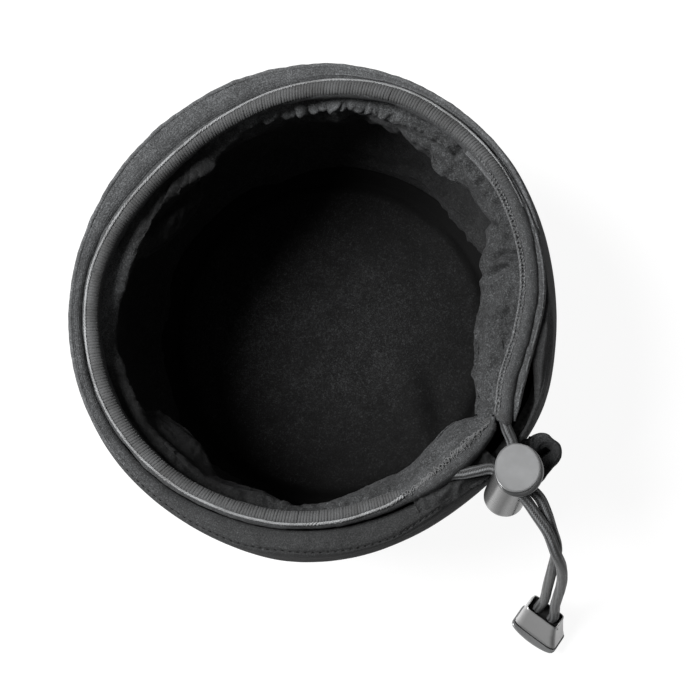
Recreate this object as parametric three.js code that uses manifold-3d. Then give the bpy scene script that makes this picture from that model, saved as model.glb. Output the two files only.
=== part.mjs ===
// Slip-on lens cover: a padded round fabric cover that stands on its closed front disc, mouth up.
// Units are millimetres, +Z up, origin at the centre of the outside of the front disc.
// The drawcord leaves the hem on the -Y side.
import * as THREE from 'three';
import { mergeVertices } from 'three/addons/utils/BufferGeometryUtils.js';
import Module from 'manifold-3d';

const wasm = await Module();
wasm.setup();

// ---------------------------------------------------------------- driving dimensions
const DISC_R = 68.5;            // outer fabric disc of the front panel
const DISC_T = 1.0;
const STIFFENER_R = 66.3;
const SHELL_T = 1.0;            // outer fabric of the wall
const FOAM_T = 3.0;             // padding of the wall
const LINING_T = 1.0;           // brushed lining
const GAP = 0.3;                // clearance between neighbouring layers
const HEM_Z = 85.5;             // height of the middle of the drawcord casing
const CASING_R = 3.0;           // outside radius of the casing tunnel
const CASING_BORE = 2.3;        // its hollow
const CORD_D = 3.5;             // elastic drawcord
const HEM_START = 278.0;        // polar angles between which the casing runs, the long way round
const HEM_END = 257.4;
const LOCK_BARREL_R = 6.75;
const LOCK_TRAVEL = 1.8;        // press travel of the button
const LOCK_SLIDE_R = 32.0;      // radius of the arc that the cords follow through the lock
const CORD_SPACING = 2.6;       // each cord's offset from the middle of the lock
const SEGMENTS = 48;            // divisions around the cover

// Outside radius of the wall against height, for a wall that bulges a little under its own weight
const WALL_Z = [1.35, 6, 15, 28, 43, 57, 66, 74, 80, 84, 86.2];
const WALL_R = [70.0, 72.8, 76.3, 79.8, 82.6, 84.1, 84.5, 84.0, 82.6, 80.2, 78.0];
// How far the soft wall stands out of, or in from, a true circle, every 15 degrees from +X
const WALL_OUT = [1.2, 1.7, 2.0, 1.4, 0.5, -0.1, -0.4, -0.5, -0.1, 0.2, 0.3, 0.0,
  -0.7, -0.6, 0.0, -0.7, -1.9, -2.4, -1.5, -0.7, -2.0, -2.3, -1.2, 0.5];
// Radius of the middle of the casing, every 15 degrees from +X
const HEM_R = [76.6, 76.7, 75.0, 72.6, 70.3, 69.1, 69.3, 71.5, 73.4, 73.8, 74.0, 73.5,
  72.5, 71.3, 70.6, 70.0, 69.7, 71.0, 72.0, 70.0, 70.8, 73.2, 74.8, 76.0];

// ---------------------------------------------------------------- shape helpers
const RAD = Math.PI / 180;
const clamp = (x) => Math.min(1, Math.max(0, x));
const smooth = (a, b, x) => { const t = clamp((x - a) / (b - a)); return t * t * (3 - 2 * t); };

function around(table, phi) {          // periodic smooth value of a table with 15 degree steps
  const u = (((phi % 360) + 360) % 360) / 15, i = Math.floor(u), t = u - i;
  const at = (k) => table[(k + 24) % 24];
  const [a, b, c, d] = [at(i - 1), at(i), at(i + 1), at(i + 2)];
  return 0.5 * (2 * b + (c - a) * t + (2 * a - 5 * b + 4 * c - d) * t * t + (3 * b - a - 3 * c + d) * t * t * t);
}

function along(xs, ys, x) {            // smooth value of ys over xs
  const n = xs.length;
  let i = 0;
  while (i < n - 2 && x > xs[i + 1]) i++;
  const slope = (k) => {
    if (k === 0) return (ys[1] - ys[0]) / (xs[1] - xs[0]);
    if (k === n - 1) return (ys[n - 1] - ys[n - 2]) / (xs[n - 1] - xs[n - 2]);
    return 0.5 * ((ys[k] - ys[k - 1]) / (xs[k] - xs[k - 1]) + (ys[k + 1] - ys[k]) / (xs[k + 1] - xs[k]));
  };
  const h = xs[i + 1] - xs[i], t = (x - xs[i]) / h, m0 = slope(i) * h, m1 = slope(i + 1) * h;
  return (2 * t ** 3 - 3 * t ** 2 + 1) * ys[i] + (t ** 3 - 2 * t ** 2 + t) * m0 + (-2 * t ** 3 + 3 * t ** 2) * ys[i + 1] + (t ** 3 - t ** 2) * m1;
}

const wallR = (z, phi) => along(WALL_Z, WALL_R, z) + smooth(5, 55, z) * around(WALL_OUT, phi);

function hemR(phi) {                   // the casing's two ends curl outwards to let the cord out
  const p = ((phi % 360) + 360) % 360;
  let r = around(HEM_R, p);
  if (p > 240 && p <= 268) r = 69.7 + 2.9 * smooth(246, 259.5, p);
  if (p > 268 && p < 296) r = 69.6 + 2.4 * (1 - smooth(276, 289, p)) + 0.6 * smooth(288, 300, p);
  return r;
}

function closed(geometry) {            // merge shared corners and turn every face outwards
  const g = geometry.clone();
  g.deleteAttribute('normal');
  g.deleteAttribute('uv');
  const m = mergeVertices(g, 1e-4);
  const p = m.attributes.position, ix = Array.from(m.index.array), keep = [];
  for (let i = 0; i < ix.length; i += 3) {
    if (ix[i] !== ix[i + 1] && ix[i + 1] !== ix[i + 2] && ix[i] !== ix[i + 2]) keep.push(ix[i], ix[i + 1], ix[i + 2]);
  }
  let volume = 0;
  const a = new THREE.Vector3(), b = new THREE.Vector3(), c = new THREE.Vector3();
  for (let i = 0; i < keep.length; i += 3) {
    a.fromBufferAttribute(p, keep[i]); b.fromBufferAttribute(p, keep[i + 1]); c.fromBufferAttribute(p, keep[i + 2]);
    volume += a.dot(b.clone().cross(c));
  }
  if (volume < 0) for (let i = 0; i < keep.length; i += 3) [keep[i + 1], keep[i + 2]] = [keep[i + 2], keep[i + 1]];
  m.setIndex(keep);
  return m;
}

function ring(sectionAt, segments = SEGMENTS) {   // a closed section, as [r, z] pairs, carried round the axis
  const n = sectionAt(0).length, pos = [], ix = [];
  for (let i = 0; i < segments; i++) {
    const phi = 360 * i / segments, c = Math.cos(phi * RAD), s = Math.sin(phi * RAD);
    for (const [r, z] of sectionAt(phi)) pos.push(r * c, r * s, z);
  }
  for (let i = 0; i < segments; i++) for (let j = 0; j < n; j++) {
    const a = i * n + j, b = i * n + (j + 1) % n, c = ((i + 1) % segments) * n + j, d = ((i + 1) % segments) * n + (j + 1) % n;
    ix.push(a, c, b, b, c, d);
  }
  const g = new THREE.BufferGeometry();
  g.setAttribute('position', new THREE.Float32BufferAttribute(pos, 3));
  g.setIndex(ix);
  return closed(g);
}

function loft(sections) {              // sections of equal, convex corner counts, capped at both ends
  const n = sections[0].length, m = sections.length, pos = [], ix = [];
  for (const s of sections) for (const v of s) pos.push(...v);
  for (let i = 0; i < m - 1; i++) for (let j = 0; j < n; j++) {
    const a = i * n + j, b = i * n + (j + 1) % n, c = a + n, d = b + n;
    ix.push(a, c, b, b, c, d);
  }
  for (let j = 1; j < n - 1; j++) {
    ix.push(0, j, j + 1);
    const e = (m - 1) * n;
    ix.push(e, e + j + 1, e + j);
  }
  const g = new THREE.BufferGeometry();
  g.setAttribute('position', new THREE.Float32BufferAttribute(pos, 3));
  g.setIndex(ix);
  return closed(g);
}

function polygon(radius, sides, turn = 0.5) {
  const s = [];
  for (let i = 0; i < sides; i++) s.push(new THREE.Vector2(radius * Math.cos((i + turn) * 2 * Math.PI / sides), radius * Math.sin((i + turn) * 2 * Math.PI / sides)));
  return s;
}

function tube(points, radius, sides, steps, bore = 0) {
  const path = new THREE.CatmullRomCurve3(points.map((p) => new THREE.Vector3(...p)));
  const shape = new THREE.Shape(polygon(radius, sides));
  if (bore) shape.holes.push(new THREE.Path(polygon(bore, 8).reverse()));
  return closed(new THREE.ExtrudeGeometry(shape, { steps, extrudePath: path, bevelEnabled: false }));
}

function disc(radius, z0, z1, segments = SEGMENTS) {
  const g = new THREE.CylinderGeometry(radius, radius, z1 - z0, segments);
  g.rotateX(Math.PI / 2);
  g.translate(0, 0, (z0 + z1) / 2);
  return closed(g);
}

function turned(profile, segments = 24) {         // profile of [r, z] pairs, turned about local Z
  const g = new THREE.LatheGeometry(profile.map(([r, z]) => new THREE.Vector2(r, z)), segments);
  g.rotateX(Math.PI / 2);
  return closed(g);
}

function box(x0, x1, y0, y1, z0, z1) {
  const g = new THREE.BoxGeometry(x1 - x0, y1 - y0, z1 - z0);
  g.translate((x0 + x1) / 2, (y0 + y1) / 2, (z0 + z1) / 2);
  return closed(g);
}

function toSolid(g) {
  return new wasm.Manifold(new wasm.Mesh({
    numProp: 3,
    vertProperties: new Float32Array(g.attributes.position.array),
    triVerts: new Uint32Array(g.index.array),
  }));
}

function fromSolid(s) {
  const m = s.getMesh(), g = new THREE.BufferGeometry();
  g.setAttribute('position', new THREE.Float32BufferAttribute(Array.from(m.vertProperties), 3));
  g.setIndex(Array.from(m.triVerts));
  return closed(g);
}

const cut = (g, ...tools) => fromSolid(tools.reduce((s, t) => s.subtract(toSolid(t)), toSolid(g)));
const join = (g, ...more) => fromSolid(more.reduce((s, t) => s.add(toSolid(t)), toSolid(g)));

// ---------------------------------------------------------------- materials
const material = (color, roughness, metalness = 0) => new THREE.MeshStandardMaterial({ color, roughness, metalness });
const outerFabric = material(0x2c2d30, 0.85);
const fleece = material(0x1e1f22, 0.95);
const foam = material(0x3a3b3d, 0.95);
const board = material(0x1b1b1c, 0.7);
const thread = material(0x55575c, 0.8);
const cordFabric = material(0x34363b, 0.7);
const satinPlastic = material(0x6d7074, 0.4);
const darkPlastic = material(0x2a2b2d, 0.45);
const springSteel = material(0xb0b2b5, 0.3, 0.9);
const webbing = material(0x2b2b31, 0.85);

const cover = new THREE.Group();
function add(name, geometry, mat, parent = cover) {
  const mesh = new THREE.Mesh(geometry, mat);
  mesh.name = name;
  parent.add(mesh);
  return mesh;
}

// ---------------------------------------------------------------- front panel
add('front_panel_shell', disc(DISC_R, 0, DISC_T), outerFabric);
add('front_panel_seam', ring(() => [[68.8, 0.35], [69.7, 0.35], [69.7, 1.0], [68.8, 1.0]]), thread);
add('front_stiffener', disc(STIFFENER_R, 1.35, 2.55), board);
add('front_foam', disc(68.3, 2.9, 6.2), foam);
add('front_panel_lining', disc(67.0, 6.6, 7.6), fleece);

// ---------------------------------------------------------------- side wall
// Near the cord exit the wall's lip stands clear of the casing; elsewhere it reaches in to it.
const lipGap = (phi) => { const p = ((phi % 360) + 360) % 360; return smooth(250, 262, p) * (1 - smooth(288, 300, p)); };

const shellZ = [6, 15, 28, 43, 57, 66, 74, 80];
add('side_wall_shell', ring((phi) => {
  const b = lipGap(phi), e = THREE.MathUtils.lerp(hemR(phi) + 3.4, 79.4, b);
  const sr = Math.max(wallR(84, phi), e + 0.9), sz = 84 - 3.1 * b, ez = 85.3 - 4.2 * b;
  const out = [[67.2, 1.35], [70.0, 1.35], ...shellZ.map((z) => [wallR(z, phi), z]), [sr, sz], [e, ez]];
  const back = [[e, ez - 1.1 + 0.3 * b], [sr - 1.05, sz - 1.1 + 0.5 * b], ...shellZ.slice().reverse().map((z) => [wallR(z, phi) - SHELL_T, z + (z < 10 ? 0.4 : 0)]), [69.6, 2.35], [67.2, 2.35]];
  return [...out, ...back];
}), outerFabric);

const foamZ = [6.8, 15, 28, 43, 57, 66, 74, 79];
const foamOut = SHELL_T + GAP, foamIn = foamOut + FOAM_T;
add('side_wall_foam', ring((phi) => [
  ...foamZ.map((z) => [wallR(z, phi) - foamOut, z]),
  ...foamZ.slice().reverse().map((z) => [wallR(z, phi) - foamIn, z]),
]), foam);

const liningZ = [6.9, 15, 28, 43, 57, 66, 74];
const liningOut = foamIn + GAP, liningIn = liningOut + LINING_T;
add('side_wall_lining', ring((phi) => {
  const h = hemR(phi);
  return [
    ...liningZ.map((z) => [wallR(z, phi) - liningOut, z]), [h + 0.9, 82.0],
    [h + 0.2, 81.0], ...liningZ.slice().reverse().map((z) => [wallR(z, phi) - liningIn, z]),
  ];
}), fleece);

// ---------------------------------------------------------------- hem at the mouth
const at = (phi, r, z) => [r * Math.cos(phi * RAD), r * Math.sin(phi * RAD), z];
const hemSpan = HEM_END + 360 - HEM_START;          // degrees of casing, the long way round
function hemPath(from, to, n) {                      // from and to are degrees past the casing's right end
  const pts = [];
  for (let i = 0; i <= n; i++) { const phi = HEM_START + from + (to - from) * i / n; pts.push(at(phi, hemR(phi), HEM_Z)); }
  return pts;
}
add('hem_casing', tube(hemPath(0, hemSpan, 60), CASING_R, 8, 50, CASING_BORE), outerFabric);
add('drawcord_hem_run', tube(hemPath(3.6, hemSpan - 3.6, 60), CORD_D / 2, 8, 50), cordFabric);

const bandSections = [];
for (let i = 0; i <= 48; i++) {
  const phi = HEM_START + 2 + (hemSpan - 4) * i / 48, h = hemR(phi);
  bandSections.push([[h - 4.1, 84.2], [h - 3.4, 84.2], [h - 3.4, 87.0], [h - 4.1, 87.0]].map(([r, z]) => at(phi, r, z)));
}
add('hem_overlock_band', loft(bandSections), thread);

function cuffAt(phi, next) {                          // a stitched cuff round the end of the casing
  const g = turned([[3.3, -0.8], [3.75, -0.8], [3.75, 0.8], [3.3, 0.8], [3.3, -0.8]], 12);
  const a = new THREE.Vector3(...at(phi, hemR(phi), HEM_Z)), b = new THREE.Vector3(...at(next, hemR(next), HEM_Z));
  g.applyQuaternion(new THREE.Quaternion().setFromUnitVectors(new THREE.Vector3(0, 0, 1), b.clone().sub(a).normalize()));
  g.translate(a.x, a.y, a.z);
  return g;
}
add('casing_bartack_right', cuffAt(HEM_START + 1.0, HEM_START + 1.6), thread);
add('casing_bartack_left', cuffAt(HEM_END - 1.0, HEM_END - 1.6), thread);

// ---------------------------------------------------------------- cord lock
// Local frame of the lock: X along the cords, outwards; Y across them; Z up the lock's axis.
const lockOrigin = new THREE.Vector3(-5.025, -87.214, 87.075);
const lockZ = new THREE.Vector3(0.48952, 0.113, 0.86464).normalize();
const lockX = new THREE.Vector3(-0.16127, -0.96273, 0.21713).normalize();
const lockY = lockZ.clone().cross(lockX).normalize();
const lock = new THREE.Group();
lock.position.copy(lockOrigin);
lock.quaternion.setFromRotationMatrix(new THREE.Matrix4().makeBasis(lockX, lockY, lockZ));
cover.add(lock);

const slotHalf = CORD_SPACING + CORD_D / 2 + GAP;
add('cord_lock_barrel', cut(
  turned([[0, -12.8], [5.9, -12.8], [LOCK_BARREL_R, -12.0], [LOCK_BARREL_R, 2.8], [6.45, 3.1], [5.85, 3.1], [5.85, -11.5], [0, -11.5]]),
  box(-9, 9, -slotHalf, slotHalf, -2.8, 2.05),
), satinPlastic, lock);

const head = turned([[0, 5.2], [7.4, 5.2], [8.9, 5.35], [9.0, 5.9], [8.7, 6.5], [8.0, 6.9], [5.0, 7.12], [0, 7.2]], 28);
head.scale(7.7 / 9.0, 1, 1);
add('cord_lock_button', cut(
  join(head, turned([[0, -3.9], [5.1, -3.9], [5.5, -3.5], [5.5, 5.5], [0, 5.5]])),
  box(-9, 9, -slotHalf, slotHalf, -2.55, 4.1),
), satinPlastic, lock);

const coil = [];
for (let i = 0; i <= 54; i++) { const t = i / 54, w = t * 4.5 * 2 * Math.PI; coil.push([4.3 * Math.cos(w), 4.3 * Math.sin(w), -10.8 + 6.2 * t]); }
add('cord_lock_spring', tube(coil, 0.35, 6, 54), springSteel, lock);

// ---------------------------------------------------------------- cord end
// Local frame: X along its wide side, Z up its axis towards the cords.
const endOrigin = new THREE.Vector3(-33.1, -126.3, 14.0);
const endZ = new THREE.Vector3(0.48, 0.05, 0.8758).normalize();
const endX = new THREE.Vector3(0, -1, 0);
endX.addScaledVector(endZ, -endX.dot(endZ)).normalize();
const endY = endZ.clone().cross(endX).normalize();
const cordEnd = new THREE.Group();
cordEnd.position.copy(endOrigin);
cordEnd.quaternion.setFromRotationMatrix(new THREE.Matrix4().makeBasis(endX, endY, endZ));
cover.add(cordEnd);

const slab = (hx, hy, c, z) => [[hx, -hy + c, z], [hx, hy - c, z], [hx - c, hy, z], [-hx + c, hy, z], [-hx, hy - c, z], [-hx, -hy + c, z], [-hx + c, -hy, z], [hx - c, -hy, z]];
const hole = (x) => { const g = turned([[0, -3], [2.1, -3], [2.1, 2], [0, 2]], 16); g.translate(x, 0, 0); return g; };
add('cord_end_body', cut(
  loft([slab(6.8, 3.4, 0.9, 0), slab(8.8, 4.3, 1.1, -10.4)]),
  loft([slab(5.6, 2.4, 0.5, -1.3), slab(7.7, 3.2, 0.6, -11.0)]),
  hole(2.9), hole(-2.9),
), satinPlastic, cordEnd);
add('cord_end_cap', join(
  loft([slab(8.9, 4.3, 1.1, -10.7), slab(9.0, 4.3, 1.1, -12.5)]),
  loft([slab(6.9, 2.6, 0.5, -9.5), slab(7.0, 2.7, 0.5, -11.0)]),
), satinPlastic, cordEnd);

const knot = new THREE.SphereGeometry(1, 14, 8);
knot.scale(5.0, 1.9, 2.0);
knot.translate(0, 0, -5.7);
add('cord_knot', closed(knot), cordFabric, cordEnd);

// ---------------------------------------------------------------- free ends of the drawcord
// Each leaves its end of the casing, passes through the lock on a common arc, crosses the other once
// and comes down to the cord end, which rests on the ground.
const lockArc = (s, side) => lockOrigin.clone()
  .addScaledVector(lockX, LOCK_SLIDE_R * Math.sin(s / LOCK_SLIDE_R))
  .addScaledVector(lockZ, -LOCK_SLIDE_R * (1 - Math.cos(s / LOCK_SLIDE_R)))
  .addScaledVector(lockY, side * CORD_SPACING).toArray();
const intoEnd = (x, z) => endOrigin.clone().addScaledVector(endX, x).addScaledVector(endZ, z).toArray();
const hemPoint = (phi) => at(phi, hemR(phi), HEM_Z);

add('drawcord_left_tail', tube([
  hemPoint(HEM_END - 3.3), hemPoint(HEM_END), [-13.0, -73.7, 85.6], [-9.9, -76.5, 85.8],
  lockArc(-6.8, -1), lockArc(0, -1), lockArc(7, -1), lockArc(14, -1), lockArc(21, -1),
  [-15.2, -111.8, 84.8], [-17.3, -116.2, 77.6], [-19.7, -119.4, 66.8], [-22.4, -122.1, 54.0],
  [-26.1, -124.5, 40.0], [-29.0, -126.9, 27.0], intoEnd(2.9, 5.5), intoEnd(2.9, 0.5), intoEnd(2.9, -3.4),
], CORD_D / 2, 8, 52), cordFabric);

add('drawcord_right_tail', tube([
  hemPoint(HEM_START + 3.3), hemPoint(HEM_START), [8.0, -74.2, 85.4], [5.0, -77.6, 85.0], [1.4, -80.0, 84.5],
  lockArc(-6.4, 1), lockArc(0, 1), lockArc(7, 1), lockArc(14, 1), lockArc(20, 1),
  [-13.2, -111.2, 80.1], [-15.8, -113.3, 74.2], [-19.1, -115.3, 66.2], [-22.7, -117.5, 55.5],
  [-26.0, -119.7, 43.0], [-28.9, -122.0, 29.5], intoEnd(-2.9, 5.5), intoEnd(-2.9, 0.5), intoEnd(-2.9, -3.4),
], CORD_D / 2, 8, 52), cordFabric);

// ---------------------------------------------------------------- pull tab
// A folded strip standing on edge, sewn to the wall by its two legs and leaning a little outwards.
const plan = new THREE.Shape();
[[0.2, -84.4], [0.2, -93.2], [1.4, -94.6], [10.2, -94.9], [12.4, -93.9], [13.3, -92.0], [13.2, -83.4],
  [11.2, -83.8], [11.3, -91.3], [10.6, -92.5], [9.4, -92.9], [3.0, -92.7], [2.2, -91.9], [2.2, -84.3],
].forEach(([x, y], i) => (i ? plan.lineTo(x, y) : plan.moveTo(x, y)));
plan.closePath();
const tab = closed(new THREE.ExtrudeGeometry(plan, { depth: 12, bevelEnabled: false }));
const tp = tab.attributes.position;
for (let i = 0; i < tp.count; i++) {
  const lean = 0.14 * tp.getZ(i) * clamp((-85 - tp.getY(i)) / 6);
  tp.setXYZ(i, tp.getX(i), tp.getY(i) - lean, tp.getZ(i) + 65);
}
add('pull_tab', tab, webbing);
add('pull_tab_stitching', box(13.65, 14.25, -87.6, -84.9, 67, 75), thread);

export default cover;
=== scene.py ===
import math

import bpy
import numpy as np
from mathutils import Matrix, Vector
from mathutils import noise as mnoise


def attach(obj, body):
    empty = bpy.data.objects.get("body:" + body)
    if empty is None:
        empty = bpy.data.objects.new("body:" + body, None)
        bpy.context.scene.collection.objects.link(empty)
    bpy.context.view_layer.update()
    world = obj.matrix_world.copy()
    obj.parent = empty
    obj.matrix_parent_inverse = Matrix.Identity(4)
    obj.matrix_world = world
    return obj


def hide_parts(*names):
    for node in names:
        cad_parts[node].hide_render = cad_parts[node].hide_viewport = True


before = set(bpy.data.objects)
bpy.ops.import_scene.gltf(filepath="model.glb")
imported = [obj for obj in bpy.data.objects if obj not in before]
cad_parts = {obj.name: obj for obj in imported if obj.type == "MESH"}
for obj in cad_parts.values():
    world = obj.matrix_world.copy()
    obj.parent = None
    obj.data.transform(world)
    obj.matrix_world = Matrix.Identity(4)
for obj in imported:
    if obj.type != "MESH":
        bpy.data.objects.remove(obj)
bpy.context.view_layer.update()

# Slip-on lens cover, looks. Lengths below are in millimetres in the row frame and become metres
# when a mesh is made.
MM = 0.001
RAD = math.pi / 180
scene = bpy.context.scene
rng = np.random.default_rng(11)


def unit(v):
    v = np.asarray(v, float)
    return v / np.linalg.norm(v, axis=-1, keepdims=True)


# ------------------------------------------------------------------ camera
RIM_Z, CAM_DIST, FOCAL_PX = 88.0, 450.0, 1363.5
_t, _h = 11.4 * RAD, -107.6 * RAD
_n = np.array([math.sin(_t) * math.cos(_h), math.sin(_t) * math.sin(_h), math.cos(_t)])
cam_pos = np.array([0.0, 0.0, RIM_Z]) + CAM_DIST * _n
_up = np.array([math.cos(38 * RAD), math.sin(38 * RAD), 0.0])
_x = unit(np.cross(_up, _n))
_y = np.cross(_n, _x)
_v = unit([(309 - 350) / FOCAL_PX, -(305 - 350) / FOCAL_PX, -1.0])
_w = np.array([0.0, 0.0, -1.0])
_a = np.cross(_v, _w)
_k = np.array([[0, -_a[2], _a[1]], [_a[2], 0, -_a[0]], [-_a[1], _a[0], 0]])
_q = np.eye(3) + _k + _k @ _k * ((1 - _v @ _w) / (_a @ _a))
cam_rot = np.stack([_x, _y, _n], 1) @ _q
camera_data = bpy.data.cameras.new("camera")
camera_data.sensor_width = 36.0
camera_data.lens = FOCAL_PX * 36.0 / 700.0
camera_data.clip_start, camera_data.clip_end = 0.01, 20.0
camera = bpy.data.objects.new("camera", camera_data)
scene.collection.objects.link(camera)
_m = np.eye(4)
_m[:3, :3] = cam_rot
_m[:3, 3] = cam_pos * MM
camera.matrix_world = Matrix(_m.tolist())
scene.camera = camera


def seen(px, py, z):
    """The point at height z that shows at that place of the picture."""
    d = cam_rot @ np.array([(px - 350) / FOCAL_PX, -(py - 350) / FOCAL_PX, -1.0])
    return cam_pos + d * ((z - cam_pos[2]) / d[2])


def shows(P):
    """Where points show in the picture."""
    q = (np.asarray(P, float) - cam_pos) @ cam_rot
    return 350 - FOCAL_PX * q[..., 0] / q[..., 2], 350 + FOCAL_PX * q[..., 1] / q[..., 2]


def near_line(P, line):
    """Distance in the picture from each point to a line through picture points."""
    x, y = shows(P)
    best = np.full(x.shape, 1e9)
    for (x0, y0), (x1, y1) in zip(line, line[1:]):
        dx, dy = x1 - x0, y1 - y0
        t = np.clip(((x - x0) * dx + (y - y0) * dy) / (dx * dx + dy * dy), 0, 1)
        best = np.minimum(best, np.hypot(x - x0 - t * dx, y - y0 - t * dy))
    return best


# ------------------------------------------------------------------ mesh helpers
def build(name, parts, mat, body="cover", smooth=True, replaces=()):
    """One mesh object from parts, each (vertices in mm, faces, per-corner UVs or None)."""
    verts, faces, uvs, base = [], [], [], 0
    for v, f, uv in parts:
        v = np.asarray(v, float).reshape(-1, 3)
        verts.append(v)
        f = [tuple(int(i) + base for i in face) for face in f]
        faces += f
        if uv is None:
            for face in f:
                uvs += [(v[i - base][0] / 10, v[i - base][1] / 10) for i in face]
        else:
            uvs += [tuple(c) for c in np.asarray(uv, float).reshape(-1, 2)]
        base += len(v)
    me = bpy.data.meshes.new(name)
    me.from_pydata((np.concatenate(verts) * MM).tolist(), [], faces)
    me.polygons.foreach_set("use_smooth", [smooth] * len(me.polygons))
    layer = me.uv_layers.new(name="UVMap")
    layer.data.foreach_set("uv", np.asarray(uvs, np.float32).ravel())
    me.validate()
    me.update()
    me.materials.append(mat)
    ob = bpy.data.objects.new(name, me)
    scene.collection.objects.link(ob)
    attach(ob, body)
    if replaces:
        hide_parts(*replaces)
    return ob


def grid(P, wrap=(False, False), uv=None, flip=False, caps=(False, False)):
    """Quads over a (nu, nv, 3) array of points. uv gives the corner coordinates, one row or column more where it wraps."""
    P = np.asarray(P, float)
    nu, nv = P.shape[:2]
    iu = np.arange(nu if wrap[0] else nu - 1)
    iv = np.arange(nv if wrap[1] else nv - 1)
    I, J = np.meshgrid(iu, iv, indexing="ij")
    a, b = I * nv + J, ((I + 1) % nu) * nv + J
    c, d = ((I + 1) % nu) * nv + (J + 1) % nv, I * nv + (J + 1) % nv
    order = [a, d, c, b] if flip else [a, b, c, d]
    corner = [(0, 0), (0, 1), (1, 1), (1, 0)] if flip else [(0, 0), (1, 0), (1, 1), (0, 1)]
    faces = np.stack(order, -1).reshape(-1, 4).tolist()
    if uv is None:
        uv = (np.arange(nu + 1) / 10.0, np.arange(nv + 1) / 10.0)
    U, V = uv
    co = np.stack([np.stack([U[I + x], V[J + y]], -1) for x, y in corner], -2).reshape(-1, 2)
    co = co.tolist()
    flat = P.reshape(-1, 3)
    for end, want in enumerate(caps):
        if want:
            ring = [i if end == 0 else (nu - 1) * nv + i for i in range(nv)]
            if (end == 0) == flip:
                ring = ring[::-1]
            faces.append(ring[::-1] if end == 0 else ring)
            co += [(0.0, 0.0)] * nv
    return flat, faces, co


def sweep(path, radius, sides=8, ref=None, closed=False, round_ends=False, turn=0.0, flat=1.0):
    """Points (n, sides, 3) of a tube along path; ref is a vector or one per point that fixes its roll."""
    path = np.asarray(path, float)
    if closed:
        t = np.roll(path, -1, 0) - np.roll(path, 1, 0)
    else:
        t = np.gradient(path, axis=0)
    t = unit(t)
    if ref is None:
        r0 = np.array([0, 0, 1.0]) if abs(t[0][2]) < 0.9 else np.array([1.0, 0, 0])
        n = [unit(r0 - (r0 @ t[0]) * t[0])]
        for i in range(1, len(path)):
            m = n[-1] - (n[-1] @ t[i]) * t[i]
            n.append(unit(m))
        n = np.array(n)
    else:
        ref = np.broadcast_to(np.asarray(ref, float), path.shape)
        n = unit(ref - (ref * t).sum(1, keepdims=True) * t)
    b = np.cross(t, n)
    rad = np.broadcast_to(np.asarray(radius, float), (len(path),)).copy()
    if round_ends:
        rad[0] *= 0.45
        rad[-1] *= 0.45
    ang = (np.arange(sides) + turn) * 2 * math.pi / sides
    return (path[:, None, :] + rad[:, None, None] * (flat * np.cos(ang)[None, :, None] * n[:, None, :]
            + np.sin(ang)[None, :, None] * b[:, None, :]))


def tube(path, radius, sides=8, ref=None, closed=False, round_ends=True, flat=1.0):
    P = sweep(path, radius, sides, ref, closed, round_ends and not closed, flat=flat)
    step = np.linalg.norm(np.diff(np.asarray(path, float), axis=0), axis=1)
    U = np.concatenate([[0], np.cumsum(step)]) / 10.0
    U = np.append(U, U[-1] + (step[-1] / 10.0))
    V = np.linspace(0, 1, sides + 1)
    return grid(P, (closed, True), (U, V), flip=False, caps=(not closed, not closed))


def fbm(P, size, octaves=3, seed=0.0, gain=0.5):
    """Smooth noise about 0, one value per point, for features about size mm long."""
    P = np.asarray(P, float)
    flat = P.reshape(-1, 3)
    out = np.zeros(len(flat))
    amp, s = 1.0, 1.0 / size
    for o in range(octaves):
        q = flat * s + seed + 17.3 * o
        out += amp * np.fromiter((mnoise.noise(Vector(p)) for p in q), float, len(q))
        amp *= gain
        s *= 2.03
    return out.reshape(P.shape[:-1])


def smooth(a, b, x):
    t = np.clip((np.asarray(x, float) - a) / (b - a), 0, 1)
    return t * t * (3 - 2 * t)


def lerp(a, b, t):
    return a + (b - a) * t


def centripetal(points, count):
    """count points, evenly spaced, along the centripetal Catmull-Rom curve through points."""
    P = np.asarray(points, float)
    ext = np.vstack([2 * P[0] - P[1], P, 2 * P[-1] - P[-2]])
    dense = []
    for i in range(len(P) - 1):
        p0, p1, p2, p3 = ext[i:i + 4]
        d = [max(np.linalg.norm(b - a), 1e-6) ** 0.5 for a, b in ((p0, p1), (p1, p2), (p2, p3))]
        t1 = (p1 - p0) / d[0] - (p2 - p0) / (d[0] + d[1]) + (p2 - p1) / d[1]
        t2 = (p2 - p1) / d[1] - (p3 - p1) / (d[1] + d[2]) + (p3 - p2) / d[2]
        t1, t2 = t1 * d[1], t2 * d[1]
        for u in np.linspace(0, 1, 40, endpoint=False):
            dense.append((2 * u ** 3 - 3 * u ** 2 + 1) * p1 + (u ** 3 - 2 * u ** 2 + u) * t1
                         + (-2 * u ** 3 + 3 * u ** 2) * p2 + (u ** 3 - u ** 2) * t2)
    dense.append(P[-1])
    return even(np.array(dense), count)


def even(line, count):
    s = np.concatenate([[0], np.cumsum(np.linalg.norm(np.diff(line, axis=0), axis=1))])
    u = np.linspace(0, s[-1], count)
    return np.stack([np.interp(u, s, line[:, k]) for k in range(3)], 1)


def length_of(line):
    return float(np.linalg.norm(np.diff(line, axis=0), axis=1).sum())


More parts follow.
